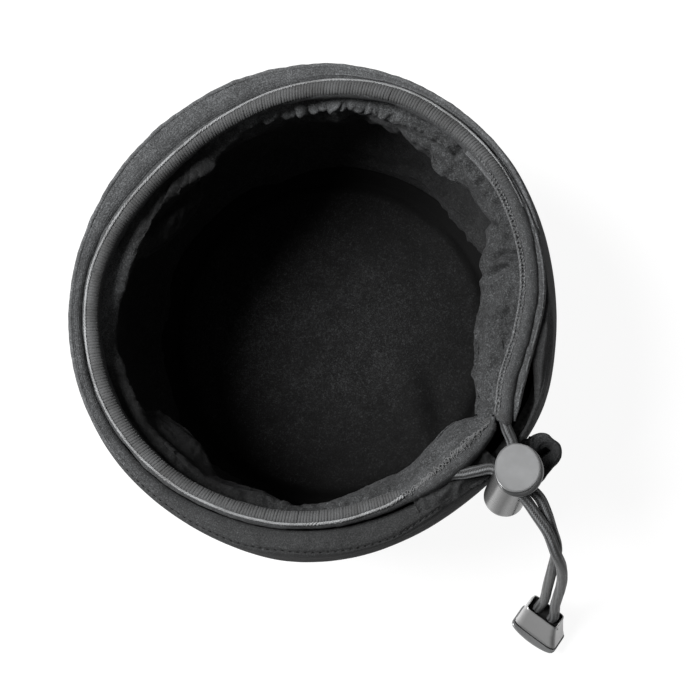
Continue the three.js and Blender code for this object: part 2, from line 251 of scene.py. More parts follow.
# ------------------------------------------------------------------ the cover's driving curves
WALL_Z = np.array([1.35, 6, 15, 28, 43, 57, 66, 74, 80, 84, 86.2])
WALL_R = np.array([70.0, 72.8, 76.3, 79.8, 82.6, 84.1, 84.5, 84.0, 82.6, 80.2, 78.0])
WALL_OUT = np.array([1.2, 1.7, 2.0, 1.4, 0.5, -0.1, -0.4, -0.5, -0.1, 0.2, 0.3, 0.0,
                     -0.7, -0.6, 0.0, -0.7, -1.9, -2.4, -1.5, -0.7, -2.0, -2.3, -1.2, 0.5])
HEM_R = np.array([76.6, 76.7, 75.0, 72.6, 70.3, 69.1, 69.3, 71.5, 73.4, 73.8, 74.0, 73.5,
                  72.5, 71.3, 70.6, 70.0, 69.7, 71.0, 72.0, 70.0, 70.8, 73.2, 74.8, 76.0])
HEM_START, HEM_END, HEM_Z = 278.0, 257.4, 85.5
CORD_D = 3.5


def around(table, phi):
    """Periodic smooth value of a table with 15 degree steps."""
    u = (np.asarray(phi, float) % 360) / 15
    i = np.floor(u).astype(int)
    t = u - i
    a, b, c, d = (table[(i + k) % 24] for k in (-1, 0, 1, 2))
    return 0.5 * (2 * b + (c - a) * t + (2 * a - 5 * b + 4 * c - d) * t * t + (3 * b - a - 3 * c + d) * t ** 3)


def along(xs, ys, x):
    """Smooth value of ys over xs."""
    x = np.asarray(x, float)
    n = len(xs)
    slope = np.empty(n)
    sec = np.diff(ys) / np.diff(xs)
    slope[0], slope[-1] = sec[0], sec[-1]
    slope[1:-1] = 0.5 * (sec[1:] + sec[:-1])
    i = np.clip(np.searchsorted(xs, x, side="right") - 1, 0, n - 2)
    h = xs[i + 1] - xs[i]
    t = (x - xs[i]) / h
    m0, m1 = slope[i] * h, slope[i + 1] * h
    return (2 * t ** 3 - 3 * t ** 2 + 1) * ys[i] + (t ** 3 - 2 * t ** 2 + t) * m0 + (-2 * t ** 3 + 3 * t ** 2) * ys[i + 1] + (t ** 3 - t ** 2) * m1


def wall_r(z, phi):
    return along(WALL_Z, WALL_R, z) + smooth(5, 55, z) * around(WALL_OUT, phi)


def hem_r(phi):
    p = np.asarray(phi, float) % 360
    r = around(HEM_R, p)
    r = np.where((p > 240) & (p <= 268), 69.7 + 2.9 * smooth(246, 259.5, p), r)
    r = np.where((p > 268) & (p < 296), 69.6 + 2.4 * (1 - smooth(276, 289, p)) + 1.7 * (1 - smooth(275, 283.5, p)) + 0.6 * smooth(288, 300, p), r)
    return r


def polar(phi, r, z):
    phi, r, z = np.broadcast_arrays(np.asarray(phi, float), r, z)
    return np.stack([r * np.cos(phi * RAD), r * np.sin(phi * RAD), z], -1)


def hem_point(phi):
    return polar(phi, hem_r(phi), HEM_Z)


# ------------------------------------------------------------------ free ends of the drawcord
LOCK_O = np.array([-5.025, -87.214, 87.075])
LOCK_Z = unit([0.48952, 0.113, 0.86464])
LOCK_X = unit([-0.16127, -0.96273, 0.21713])
LOCK_Y = unit(np.cross(LOCK_Z, LOCK_X))
END_O = np.array([-33.1, -126.3, 14.0])
END_Z = unit([0.48, 0.05, 0.8758])
END_X = unit(np.array([0, -1.0, 0]) - (np.array([0, -1.0, 0]) @ END_Z) * END_Z)
END_Y = unit(np.cross(END_Z, END_X))


def lock_arc(s, side):
    return LOCK_O + 32 * math.sin(s / 32) * LOCK_X - 32 * (1 - math.cos(s / 32)) * LOCK_Z + side * 2.6 * LOCK_Y


def into_end(x, z):
    return END_O + x * END_X + z * END_Z


LEFT_TAIL = [
    hem_point(HEM_END - 3.3), hem_point(HEM_END), [-13.0, -73.7, 85.6], [-9.9, -76.5, 85.8],
    lock_arc(-6.8, -0.93), lock_arc(0, -0.85), lock_arc(7, -0.5), lock_arc(14, -0.45), lock_arc(21, -0.45) + 1.2 * LOCK_Z,
    [-15.2, -111.8, 84.8], [-17.3, -116.2, 77.6], [-19.7, -119.4, 66.8], [-22.4, -122.1, 54.0],
    [-26.1, -124.5, 40.0], [-29.3, -126.8, 27.0], seen(554.9, 610.0, 19.0), into_end(3.5, 0.5), into_end(3.0, -3.4),
]
RIGHT_TAIL = [
    hem_point(HEM_START + 2.6), hem_point(HEM_START - 0.3), [7.05, -75.8, 84.8], [4.98, -79.3, 83.9], [1.42, -82.8, 83.7],
    lock_arc(-1.2, 0.93), lock_arc(5, 1), lock_arc(10, 1.25), lock_arc(15, 1.0) - 0.4 * LOCK_Z, lock_arc(20, 0.7) - 1.2 * LOCK_Z,
    [-13.2, -111.2, 80.1], [-15.8, -113.3, 74.2], [-19.1, -115.3, 66.2], [-22.7, -117.5, 55.5],
    [-26.0, -119.7, 43.0], [-28.9, -122.0, 29.5], into_end(-2.9, 5.5), into_end(-2.9, 0.5), into_end(-2.9, -3.4),
]


# ------------------------------------------------------------------ materials
class Nodes:
    """A short way to write a node material."""

    def __init__(self, name):
        self.mat = bpy.data.materials.new(name)
        self.mat.use_nodes = True
        self.t = self.mat.node_tree
        self.t.nodes.clear()
        self.out = self.t.nodes.new("ShaderNodeOutputMaterial")
        self.bsdf = self.t.nodes.new("ShaderNodeBsdfPrincipled")
        self.t.links.new(self.bsdf.outputs[0], self.out.inputs[0])
        self.coord = self.t.nodes.new("ShaderNodeTexCoord")

    def node(self, kind, **props):
        n = self.t.nodes.new("ShaderNode" + kind)
        for k, v in props.items():
            setattr(n, k, v)
        return n

    def link(self, a, b):
        self.t.links.new(a, b)
        return b

    def noise(self, scale, detail=3.0, rough=0.55, space="Object", distortion=0.0, stretch=None):
        n = self.node("TexNoise")
        n.inputs["Scale"].default_value = scale
        n.inputs["Detail"].default_value = detail
        n.inputs["Roughness"].default_value = rough
        n.inputs["Distortion"].default_value = distortion
        src = self.coord.outputs[space]
        if stretch:
            m = self.node("Mapping")
            m.inputs["Scale"].default_value = stretch
            self.link(src, m.inputs["Vector"])
            src = m.outputs["Vector"]
        self.link(src, n.inputs["Vector"])
        return n.outputs["Fac"]

    def voronoi(self, scale, space="Object", feature="F1"):
        n = self.node("TexVoronoi")
        n.feature = feature
        n.inputs["Scale"].default_value = scale
        self.link(self.coord.outputs[space], n.inputs["Vector"])
        return n.outputs["Distance"]

    def wave(self, scale, axis="X", space="UV", distortion=0.0, profile="SIN", detail_scale=1.0, rotate=None):
        n = self.node("TexWave")
        n.wave_type = "BANDS"
        n.bands_direction = axis
        n.wave_profile = profile
        n.inputs["Scale"].default_value = scale
        n.inputs["Distortion"].default_value = distortion
        n.inputs["Detail Scale"].default_value = detail_scale
        src = self.coord.outputs[space]
        if rotate is not None:
            m = self.node("Mapping")
            m.inputs["Rotation"].default_value = (0, 0, rotate)
            self.link(src, m.inputs["Vector"])
            src = m.outputs["Vector"]
        self.link(src, n.inputs["Vector"])
        return n.outputs["Fac"]

    def math(self, op, a, b=None, c=None):
        n = self.node("Math", operation=op)
        for i, x in enumerate((a, b, c)):
            if x is None:
                continue
            if isinstance(x, (int, float)):
                n.inputs[i].default_value = x
            else:
                self.link(x, n.inputs[i])
        return n.outputs[0]

    def ramp(self, fac, stops):
        n = self.node("ValToRGB")
        e = n.color_ramp.elements
        while len(e) > 1:
            e.remove(e[-1])
        e[0].position, e[0].color = stops[0][0], (*stops[0][1], 1)
        for pos, col in stops[1:]:
            x = e.new(pos)
            x.color = (*col, 1)
        self.link(fac, n.inputs[0])
        return n.outputs[0]

    def bump(self, height, strength=0.4, distance=0.0004, normal=None):
        n = self.node("Bump")
        n.inputs["Strength"].default_value = strength
        n.inputs["Distance"].default_value = distance
        self.link(height, n.inputs["Height"])
        if normal is not None:
            self.link(normal, n.inputs["Normal"])
        return n.outputs[0]

    def set(self, **values):
        names = {"rough": "Roughness", "metal": "Metallic", "sheen": "Sheen Weight", "sheen_rough": "Sheen Roughness",
                 "spec": "Specular IOR Level", "coat": "Coat Weight", "coat_rough": "Coat Roughness", "ior": "IOR"}
        for k, v in values.items():
            self.bsdf.inputs[names[k]].default_value = v
        return self


def grey(v, warm=0.0):
    return (v * (1 + warm), v, v * (1 - warm))


def cloth(name, dark, mean, light, weave=0.0, fuzz=0.5, sheen=0.15, rough=0.9, mottle=0.4, grain=1300.0, worm=0.0, depth=0.0005, deep=None, rim=None, blot=0.16, tilt=None, painted_rim_light=None, light_and_shade_spots=(), ring=None):
    """Woven or brushed cloth: speckled and mottled colour, a nap, and a weave where it has one. Where asked, it also
    paints shade and light into the colour: darker lower down or towards the edge, lighter or darker to one side, a
    lighter band under the rim, lighter or darker spots, and a dark ring.
    """
    m = Nodes(name)
    wide = m.noise(120, 3, 0.6)
    fine = m.noise(grain, 2, 0.7, distortion=worm)
    mid = m.noise(grain * 0.42, 3, 0.6, distortion=worm * 0.7)
    cell = m.voronoi(grain * 1.15)
    mix = m.math("MULTIPLY_ADD", wide, mottle * 0.5, m.math("MULTIPLY", fine, 0.58 - mottle * 0.5))
    mix = m.math("MULTIPLY_ADD", mid, blot, m.math("SUBTRACT", mix, 0.5 * (blot - 0.16)))
    mix = m.math("MULTIPLY_ADD", cell, 0.26, mix)
    # painted shade: deep darkens the cloth lower down, rim darkens it towards the edge
    if deep or rim:
        shade = m.node("MapRange")
        if deep:
            xyz = m.node("SeparateXYZ")
            m.link(m.coord.outputs["Object"], xyz.inputs[0])
            m.link(m.math("MULTIPLY_ADD", wide, 0.012, xyz.outputs[2]), shade.inputs["Value"])
        else:
            far = m.node("VectorMath", operation="LENGTH")
            m.link(m.coord.outputs["Object"], far.inputs[0])
            m.link(m.math("MULTIPLY_ADD", wide, 0.010, far.outputs["Value"]), shade.inputs["Value"])
        shade.inputs["From Min"].default_value, shade.inputs["From Max"].default_value = (deep or rim)[:2]
        shade.inputs["To Min"].default_value, shade.inputs["To Max"].default_value = (deep or rim)[2:]
        mix = m.math("ADD", mix, shade.outputs[0])

    def span(value, a, b, lo, hi):
        n = m.node("MapRange")
        m.link(value, n.inputs["Value"])
        for key, v in (("From Min", a), ("From Max", b), ("To Min", lo), ("To Max", hi)):
            n.inputs[key].default_value = v
        return n.outputs[0]

    def aside(dx, dy):
        n = m.node("VectorMath", operation="DOT_PRODUCT")
        m.link(m.coord.outputs["Object"], n.inputs[0])
        n.inputs[1].default_value = (dx, dy, 0)
        return n.outputs["Value"]

    # painted light and shade: tilt makes one side lighter and the other darker
    if tilt:
        mix = m.math("ADD", mix, span(aside(*tilt[:2]), *tilt[2:]))
    # painted light: a lighter band just under the rim on the shaded side
    if painted_rim_light:
        up = m.node("SeparateXYZ")
        m.link(m.coord.outputs["Object"], up.inputs[0])
        both = m.math("MULTIPLY", span(aside(*painted_rim_light[:2]), painted_rim_light[2], painted_rim_light[3], 0, 1), span(up.outputs[2], painted_rim_light[4], painted_rim_light[5], 0, painted_rim_light[6]))
        mix = m.math("ADD", mix, both)
    # painted light and shade in spots: each spot lightens or darkens the colour round a point
    for place, reach_, amount in light_and_shade_spots:
        n = m.node("VectorMath", operation="DISTANCE")
        m.link(m.coord.outputs["Object"], n.inputs[0])
        n.inputs[1].default_value = tuple(float(c) * MM for c in place)
        mix = m.math("ADD", mix, span(n.outputs["Value"], 0.0, reach_, amount, 0.0))
    # painted shade: a darker ring at a given radius
    if ring:
        n = m.node("VectorMath", operation="LENGTH")
        m.link(m.coord.outputs["Object"], n.inputs[0])
        mix = m.math("ADD", mix, span(m.math("MULTIPLY_ADD", wide, 0.0015, n.outputs["Value"]), *ring))
    m.link(m.ramp(mix, [(0.18, grey(dark * 0.25, -0.02)), (0.36, grey(dark, -0.02)), (0.49, grey(mean, -0.02)), (0.58, grey(light, -0.03)), (0.66, grey(light * 1.7, -0.03)), (0.9, grey(light * 3.2, -0.03))]),
           m.bsdf.inputs["Base Color"])
    height = m.math("MULTIPLY_ADD", fine, fuzz, m.math("MULTIPLY", mid, fuzz * 0.8))
    if weave:
        w = m.math("ADD", m.wave(7.0, "X"), m.wave(7.0, "Y"))
        height = m.math("MULTIPLY_ADD", w, weave, height)
    m.link(m.bump(height, 0.5, depth), m.bsdf.inputs["Normal"])
    m.set(rough=rough, sheen=sheen, sheen_rough=0.5, spec=0.2)
    m.bsdf.inputs["Sheen Tint"].default_value = (0.5, 0.5, 0.52, 1)
    return m.mat


# painted light and shade: the side towards the key light is lighter and the far side darker (tilt)
mat_outer = cloth("outer_fabric", 0.024, 0.040, 0.062, weave=0.20, fuzz=0.6, sheen=0.03, mottle=0.35, grain=2100.0, depth=0.0003, tilt=(0.12, 0.99, -0.085, 0.03, -0.16, 0.075))
mat_casing = cloth("casing_fabric", 0.029, 0.046, 0.070, weave=0.22, fuzz=0.5, sheen=0.04, mottle=0.30, grain=2100.0, depth=0.0003)
# lighter than the casing fabric: painted highlights along the rolled edges, the inner edge band and the collar's seam
# line
mat_edge_highlight = cloth("edge_fabric_painted_highlight", 0.050, 0.080, 0.118, weave=0.25, fuzz=0.5, sheen=0.05, mottle=0.30, grain=2100.0, depth=0.0003)
# painted shade and light: darker lower down (deep), a lighter band under the rim on the shaded side, and spots that
# lighten the flap and the far wall's top and darken shaded lobes
mat_lining = cloth("lining_fleece", 0.013, 0.029, 0.054, fuzz=1.0, sheen=0.05, mottle=0.35, grain=1900.0, worm=1.2, depth=0.0006, deep=(0.056, 0.078, -0.14, 0.0), blot=0.26,
                   painted_rim_light=(0.20, 0.98, 0.020, 0.055, 0.074, 0.081, 0.13),
                   light_and_shade_spots=[(seen(452, 438, 80), 0.030, 0.05), (seen(176, 448, 72), 0.036, -0.33), (seen(138, 404, 80), 0.026, -0.16), (seen(120, 350, 78), 0.022, -0.05),
                          (seen(186, 225, 66), 0.026, -0.20), (seen(204, 177, 80), 0.026, -0.27), (seen(150, 224, 80), 0.026, -0.20), (seen(248, 492, 76), 0.028, -0.24), (seen(300, 165, 45), 0.030, 0.07)])
# painted shade: darker towards the edge (rim) and a dark ring in the crease at the wall, with painted shade and light
# in two spots
mat_floor = cloth("floor_fleece", 0.0020, 0.0060, 0.0150, fuzz=1.0, sheen=0.02, mottle=0.45, grain=1900.0, worm=1.2, depth=0.0006, rim=(0.030, 0.060, 0.0, -0.08), ring=(0.0590, 0.0625, 0.0, -0.34), blot=0.44,
                  light_and_shade_spots=[(seen(410, 440, 8), 0.042, -0.035), (seen(225, 330, 8), 0.030, 0.06)])
# painted light: a lighter spot where the tab lies in the lock head's shadow
mat_tab = cloth("tab_webbing", 0.0075, 0.0145, 0.026, weave=0.8, fuzz=0.35, sheen=0.04, mottle=0.4, grain=2000.0, depth=0.0003, light_and_shade_spots=[(seen(538, 441, 77), 0.009, 0.17)])


def thread_material(name, dark, light):
    m = Nodes(name)
    f = m.noise(2600, 2, 0.6)
    g = m.noise(110, 3, 0.6)
    m.link(m.ramp(m.math("MULTIPLY_ADD", g, 0.55, m.math("MULTIPLY", f, 0.45)), [(0.38, grey(dark)), (0.60, grey(light, -0.02))]),
           m.bsdf.inputs["Base Color"])
    m.link(m.bump(m.math("ADD", m.wave(16.0, "X", rotate=0.7), f), 0.35, 0.0001), m.bsdf.inputs["Normal"])
    m.set(rough=0.65, sheen=0.1, sheen_rough=0.4, spec=0.3)
    return m.mat


mat_rib = thread_material("overlock_thread", 0.043, 0.084)
# the edge thread is far lighter than the rib thread: a painted highlight along the overlock's ridge
mat_ridge_highlight = thread_material("overlock_ridge_painted_highlight", 0.14, 0.34)
mat_loop = thread_material("loose_edge_thread", 0.060, 0.150)
mat_stitch = thread_material("sewing_thread", 0.030, 0.075)

m = Nodes("cord_sheath")
_c = m.noise(1500, 2, 0.6)
_r = m.wave(2.0, "Y")
_b = m.math("ADD", m.wave(5.5, "X", rotate=0.85), m.wave(5.5, "X", rotate=-0.85))
_f = m.math("MULTIPLY_ADD", _r, 0.55, m.math("MULTIPLY_ADD", _c, 0.4, m.math("MULTIPLY", _b, 0.06)))
m.link(m.ramp(_f, [(0.22, grey(0.012)), (0.5, grey(0.040, -0.02)), (0.82, grey(0.125, -0.03))]), m.bsdf.inputs["Base Color"])
m.link(m.bump(m.math("ADD", _b, _c), 0.5, 0.00016), m.bsdf.inputs["Normal"])
m.set(rough=0.55, sheen=0.08, sheen_rough=0.4, spec=0.4)
mat_cord = m.mat


def plastic(name, dark, light, rough, metal=0.0, spec=0.5, bands=None, axis=0, girth=4.32):
    m = Nodes(name)
    f = m.noise(5200, 2, 0.6)
    w = m.noise(90, 3, 0.5)
    if bands:
        # painted reflection streaks and highlights: colour bands by the angle round the part's axis
        xyz = m.node("SeparateXYZ")
        m.link(m.coord.outputs["UV"], xyz.inputs[0])
        turn = m.math("MULTIPLY", xyz.outputs[axis], 1 / girth)
        turn = m.math("MULTIPLY_ADD", w, 0.03, m.math("SUBTRACT", turn, 0.015))
        m.link(m.ramp(turn, [(p, grey(v)) for p, v in bands]), m.bsdf.inputs["Base Color"])
    else:
        m.link(m.ramp(w, [(0.3, grey(dark, -0.01)), (0.7, grey(light, -0.015))]), m.bsdf.inputs["Base Color"])
    r = m.node("MapRange")
    m.link(m.math("MULTIPLY_ADD", f, 0.35, m.math("MULTIPLY", m.noise(260, 3, 0.6), 0.65)), r.inputs["Value"])
    r.inputs["To Min"].default_value = rough - 0.05
    r.inputs["To Max"].default_value = rough + 0.08
    m.link(r.outputs[0], m.bsdf.inputs["Roughness"])
    m.link(m.bump(f, 0.12, 0.00004), m.bsdf.inputs["Normal"])
    m.set(metal=metal, spec=spec)
    return m.mat


# one satin plastic in two copies: the light one paints the button's face lit, the dark one paints its rim and stem in
# shade
mat_lock_lit = plastic("lock_face_painted_lit", 0.19, 0.262, 0.30, metal=0.40, spec=0.5)
mat_lock_shaded = plastic("lock_rim_painted_shade", 0.055, 0.085, 0.26, metal=0.35, spec=0.5)
# the barrel's colour has painted reflection streaks: dark and light bands round its axis
mat_barrel_reflections = plastic("lock_barrel_painted_reflections", 0.2, 0.3, 0.26, metal=0.65, spec=0.6,
                        bands=[(0.0, 0.08), (0.08, 0.05), (0.2, 0.25), (0.32, 0.08), (0.45, 0.18), (0.56, 0.04), (0.62, 0.05), (0.69, 0.24), (0.745, 0.30),
                               (0.80, 0.15), (0.835, 0.11), (0.885, 0.24), (0.94, 0.18), (1.0, 0.08)])
mat_end = plastic("cord_end_satin", 0.17, 0.21, 0.28, metal=0.30, spec=0.5)
# painted highlights: the narrow sides of the cord end get light bands, with dark lines at their edges
mat_end_body_highlights = plastic("cord_end_body_painted_highlights", 0.18, 0.228, 0.28, metal=0.30, spec=0.5, axis=1, girth=4.6,
                       bands=[(0.0, 0.52), (0.105, 0.48), (0.125, 0.10), (0.14, 0.19), (0.36, 0.19), (0.375, 0.30), (0.40, 0.62), (0.60, 0.62), (0.63, 0.26), (0.65, 0.19),
                              (0.845, 0.185), (0.868, 0.07), (0.885, 0.14), (0.90, 0.46), (1.0, 0.52)])
# near-black: painted shade in the cord end's top recess and slot, in the needle holes and in the sunken collar seam;
# the side mark is drawn in it too
mat_black_shade_and_mark = plastic("near_black_shade_and_mark", 0.006, 0.010, 0.5, spec=0.2)
mat_spring = plastic("spring_wire", 0.45, 0.55, 0.28, metal=1.0)
mat_board = plastic("stiffener_board", 0.015, 0.025, 0.6)


def foam_material():
    m = Nodes("padding_foam")
    cell = m.voronoi(900)
    m.link(m.ramp(cell, [(0.1, grey(0.012)), (0.6, grey(0.035))]), m.bsdf.inputs["Base Color"])
    m.link(m.bump(cell, 0.6, 0.0004), m.bsdf.inputs["Normal"])
    m.set(rough=0.95, spec=0.2)
    return m.mat


mat_foam = foam_material()


# ------------------------------------------------------------------ the drawcord
def cord_mesh(points, count, sides=42, ribs=7, turns_per_mm=0.004):
    line = centripetal(points, count)
    P = sweep(line, 1.0, sides)
    centre = line[:, None, :]
    s = np.linspace(0, length_of(line), count)[:, None]
    ang = (np.arange(sides) * 2 * math.pi / sides)[None, :]
    rib = np.abs(np.cos(ribs * 0.5 * (ang + 2 * math.pi * turns_per_mm * s) + 0.25 * math.pi))
    weave = np.cos(ang * 7 + s * 4.2) * np.cos(ang * 7 - s * 4.2)
    r = CORD_D / 2 * (0.93 + 0.13 * rib ** 0.6 + 0.012 * weave)
    P = centre + (P - centre) * r[..., None]
    U = np.append(s[:, 0], s[-1, 0] + 0.5) / 10.0
    V = np.linspace(0, math.pi * CORD_D / 10.0, sides + 1)
    v, f, co = grid(P, (False, True), (U, V), caps=(True, True))
    return line, (v, f, [(a, b + turns_per_mm * 10 * a * math.pi * CORD_D / 10.0) for a, b in co])


left_line, left_part = cord_mesh(LEFT_TAIL, 460)
right_line, right_part = cord_mesh(RIGHT_TAIL, 460)
cord_left = build("drawcord_left_free_end", [left_part], mat_cord, replaces=["drawcord_left_tail"])
cord_right = build("drawcord_right_free_end", [right_part], mat_cord, replaces=["drawcord_right_tail"])

def make_room(P, room=2.05, barrel=7.05):
    """Fabric gives way where a cord or the lock's barrel lies against it."""
    Q = P.reshape(-1, 3).copy()
    for line in (left_line, right_line):
        part = line[line[:, 2] > 55][::2]
        idx = np.nonzero(((Q > part.min(0) - 3) & (Q < part.max(0) + 3)).all(1))[0]
        if len(idx):
            d = Q[idx][:, None] - part[None]
            v = d[np.arange(len(idx)), np.argmin((d ** 2).sum(-1), 1)]
            n = np.maximum(np.linalg.norm(v, axis=1), 1e-6)
            Q[idx] += v / n[:, None] * np.clip(room - n, 0, None)[:, None]
    L = Q - LOCK_O
    x, y, z = L @ LOCK_X, L @ LOCK_Y, L @ LOCK_Z
    n = np.maximum(np.hypot(x, y), 1e-6)
    push = np.clip(barrel - n, 0, None) * ((z > -14.8) & (z < 3.4)) / n
    Q += (x * push)[:, None] * LOCK_X + (y * push)[:, None] * LOCK_Y
    return Q.reshape(P.shape)


hem_line = hem_point(np.linspace(HEM_START + 3.6, HEM_END + 360 - 3.6, 300))
P = sweep(hem_line, CORD_D / 2, 16)
build("drawcord_run_in_hem", [grid(P, (False, True), (np.arange(301) * 0.15, np.linspace(0, 1.1, 17)), caps=(True, True))],
      mat_cord, replaces=["drawcord_hem_run"])

# ------------------------------------------------------------------ casing: the fabric tunnel at the mouth
# Stations run from the right end of the casing the long way round to the pinch where both ends meet.
# Beyond the left cord's exit the casing is empty, so it lies flat as a tongue.
TONGUE_P = np.array([604, 607.5, 611.7, 616.0, 620.3, 624.8, 629.0, 632.6, 634.6, 636.3])
TONGUE_R = np.array([0, 69.75, 69.7, 69.7, 69.7, 69.9, 70.4, 71.0, 70.9, 70.8])
TONGUE_Z = np.array([85.5, 85.6, 85.8, 86.2, 86.6, 86.9, 87.1, 87.1, 86.9, 86.6])
TONGUE_A = np.array([3.0, 3.3, 4.0, 4.6, 4.9, 4.9, 4.2, 2.9, 1.8, 0.8])
TONGUE_B = np.array([3.0, 2.9, 2.75, 2.6, 2.2, 2.0, 1.9, 1.7, 1.4, 0.8])
TONGUE_T = np.array([0, 3, 8, 14, 18, 20, 18, 12, 6, 0])
TONGUE_R[0] = float(hem_r(244.0))
PSI_PHI = np.array([0, 15, 30, 45, 60, 75, 90, 105, 120, 135, 150, 165, 180, 195, 210, 225, 240, 247, 255, 270, 285, 300, 315, 330, 345]) * 1.0
PSI_0 = np.array([48, 42, 42, 52, 70, 82, 80, 76, 68, 63, 62, 68, 72, 70, 66, 66, 78, 98, 114, 118, 118, 104, 66, 44, 42.0])


def casing_frame(p):
    """Centre radius, height, half width, half thickness and tilt at station p (278 to 636.3 degrees)."""
    p = np.asarray(p, float)
    on = p > 604
    r = np.where(on, along(TONGUE_P, TONGUE_R, np.maximum(p, 604)), hem_r(p))
    z = np.where(on, along(TONGUE_P, TONGUE_Z, np.maximum(p, 604)), HEM_Z)
    a = np.where(on, along(TONGUE_P, TONGUE_A, np.maximum(p, 604)), 3.0)
    b = np.where(on, along(TONGUE_P, TONGUE_B, np.maximum(p, 604)), 3.0)
    tilt = np.where(on, along(TONGUE_P, TONGUE_T, np.maximum(p, 604)), 0.0)
    end = 1 - 0.12 * (1 - smooth(275.4, 277.2, p))
    return r, z, a * end, b * end, tilt * RAD


def casing_at(p, psi, off=0.0):
    """Point and outward normal on the casing at station p and angle psi (0 outwards, 90 up, 180 inwards)."""
    p, psi = np.broadcast_arrays(np.asarray(p, float), np.asarray(psi, float))
    r, z, a, b, t = casing_frame(p)
    c, s = np.cos(p * RAD), np.sin(p * RAD)
    zero = np.zeros_like(c)
    er, ez = np.stack([c, s, zero], -1), np.stack([zero, zero, zero + 1], -1)
    E = er * np.cos(t)[..., None] - ez * np.sin(t)[..., None]
    Z = ez * np.cos(t)[..., None] + er * np.sin(t)[..., None]
    C = np.stack([r * c, r * s, z], -1)
    cp, sp = np.cos(psi * RAD), np.sin(psi * RAD)
    n = unit(E * (cp / a)[..., None] + Z * (sp / b)[..., None])
    return C + E * (a * cp)[..., None] + Z * (b * sp)[..., None] + n * np.asarray(off, float)[..., None], n


st = np.concatenate([np.arange(275.6, 604, 0.7), np.arange(604, 636.31, 0.5)])
psis = np.arange(36) * 10.0
PH, PS = np.meshgrid(st, psis, indexing="ij")
P0, N0 = casing_at(PH, PS)
arc = np.concatenate([[0], np.cumsum(np.linalg.norm(np.diff(casing_at(st, 90.0)[0], axis=0), axis=1))])
pucker = np.sin(arc / 2.35 + 2.2 * np.sin(arc / 13.0))[:, None] * (0.5 - 0.5 * np.cos((PS - 20) * RAD)) * 0.09
ripple = fbm(P0, 9.0, 3, 3.1) * 0.30 + fbm(P0 * np.array([1, 1, 0.5]), 3.2, 2, 9.4) * 0.14
tongue_w = smooth(604, 612, PH)
# lengthwise folds of the empty, flat end
folds = 0.55 * tongue_w * np.cos((PS - 70) * RAD * 3.0 + 0.35 * np.sin(PH / 3.0)) * smooth(-0.2, 0.9, np.sin(PS * RAD)) * (1 - 0.5 * smooth(630, 636, PH))
P0 = P0 + N0 * (pucker + ripple + folds)[..., None]
# rolled end round the cord at the right, closed point at the left
inner, _ = casing_at(275.95, psis, 0.0)
ctr = polar(275.95, hem_r(275.95), HEM_Z)
ring1 = ctr + (inner - ctr) * 0.86
inner2, _ = casing_at(277.6, psis, 0.0)
ctr2 = polar(277.6, hem_r(277.6), HEM_Z)
ring2 = ctr2 + (inner2 - ctr2) * 0.80
P0 = np.concatenate([ring2[None], ring1[None], P0], 0)
U = np.concatenate([[-0.4, -0.2], arc / 10.0, [arc[-1] / 10 + 0.05]])
V = np.linspace(0, 1.885, 37)
casing = build("hem_casing_fabric", [grid(P0, (False, True), (U, V), flip=True, caps=(False, True))], mat_casing,
               replaces=["hem_casing"])

# ------------------------------------------------------------------ overlocked edge on the casing
total = arc[-1]
PITCH = 0.99


def psi_start(p):
    q = np.asarray(p, float) % 360
    val = np.interp(q, np.append(PSI_PHI, 360), np.append(PSI_0, PSI_0[0]))
    return val


def station(s):
    return np.interp(s, arc, st)


def sta(p):
    return float(np.interp(p, st, arc))


def thread_line(s0, s1, shift, spread, period, phase, radius, off, sides=5, wob=1.2, lift=0.12, fade=None):
    """A thread that weaves along the casing, shift degrees from the edge line."""
    ss = np.arange(s0, s1, period / 8)
    w = np.convolve(rng.normal(0, 1, len(ss) + 32), np.ones(33) / 33 ** 0.5, mode="valid") / 1.0
    ph = 2 * math.pi * ss / period + phase + 0.25 * w
    psi = psi_start(station(ss)) + shift + spread * np.sin(ph) + wob * w
    pts, nn = casing_at(station(ss), psi, off + lift * np.cos(ph))
    if fade:
        radius = radius * (0.12 + 0.88 * smooth(*fade, station(ss)))
    return tube(pts, radius, sides, nn)


ribs, legs, s = [], [], sta(336)
end_s = sta(603.5)
while s < end_s:
    p = float(station(s))
    top = float(psi_start(p))
    on = float(smooth(336, 356, p) * (1 - smooth(599, 604, p)))
    span = 92.0 + 12.0 * float(smooth(345, 375, p) * (1 - smooth(395, 425, p)))
    jit = rng.normal(0, 0.018)
    n = 12
    ps = np.linspace(top - 2 + rng.normal(0, 2.0), top + span * (0.55 + 0.45 * on), n)
    ss = s + jit + np.linspace(0, 0.45 + rng.normal(0, 0.08), n) + 0.10 * np.sin(np.linspace(0, math.pi, n))
    lift = -0.06 - 0.34 * (1 - on) + 0.14 * np.sin(np.linspace(0.1, math.pi - 0.2, n)) + rng.normal(0, 0.025)
    pts, nn = casing_at(station(ss), ps, lift)
    ribs.append(tube(pts, 0.565 + rng.normal(0, 0.015), 8, nn, flat=0.46))
    # short slanted stitches that cross the edge line
    if rng.random() < 0.9:
        low = float(smooth(535, 550, p) * (1 - smooth(600, 604, p)))
        ps = np.linspace(top + 5, top - 9 - 7 * rng.random() - 5 * low, 5)
        ss = s + jit + np.linspace(-0.25, 0.55, 5)
        pts, nn = casing_at(station(ss), ps, 0.22 - 0.22 * np.linspace(0, 1, 5) ** 2)
        legs.append(tube(pts, 0.15 + 0.05 * low, 5, nn))
    s += PITCH + rng.normal(0, 0.015)
overlock = build("hem_overlock_ribs", ribs, mat_rib, replaces=["hem_overlock_band"])
build("hem_overlock_legs", legs, mat_rib)
a, b = sta(332), sta(604)
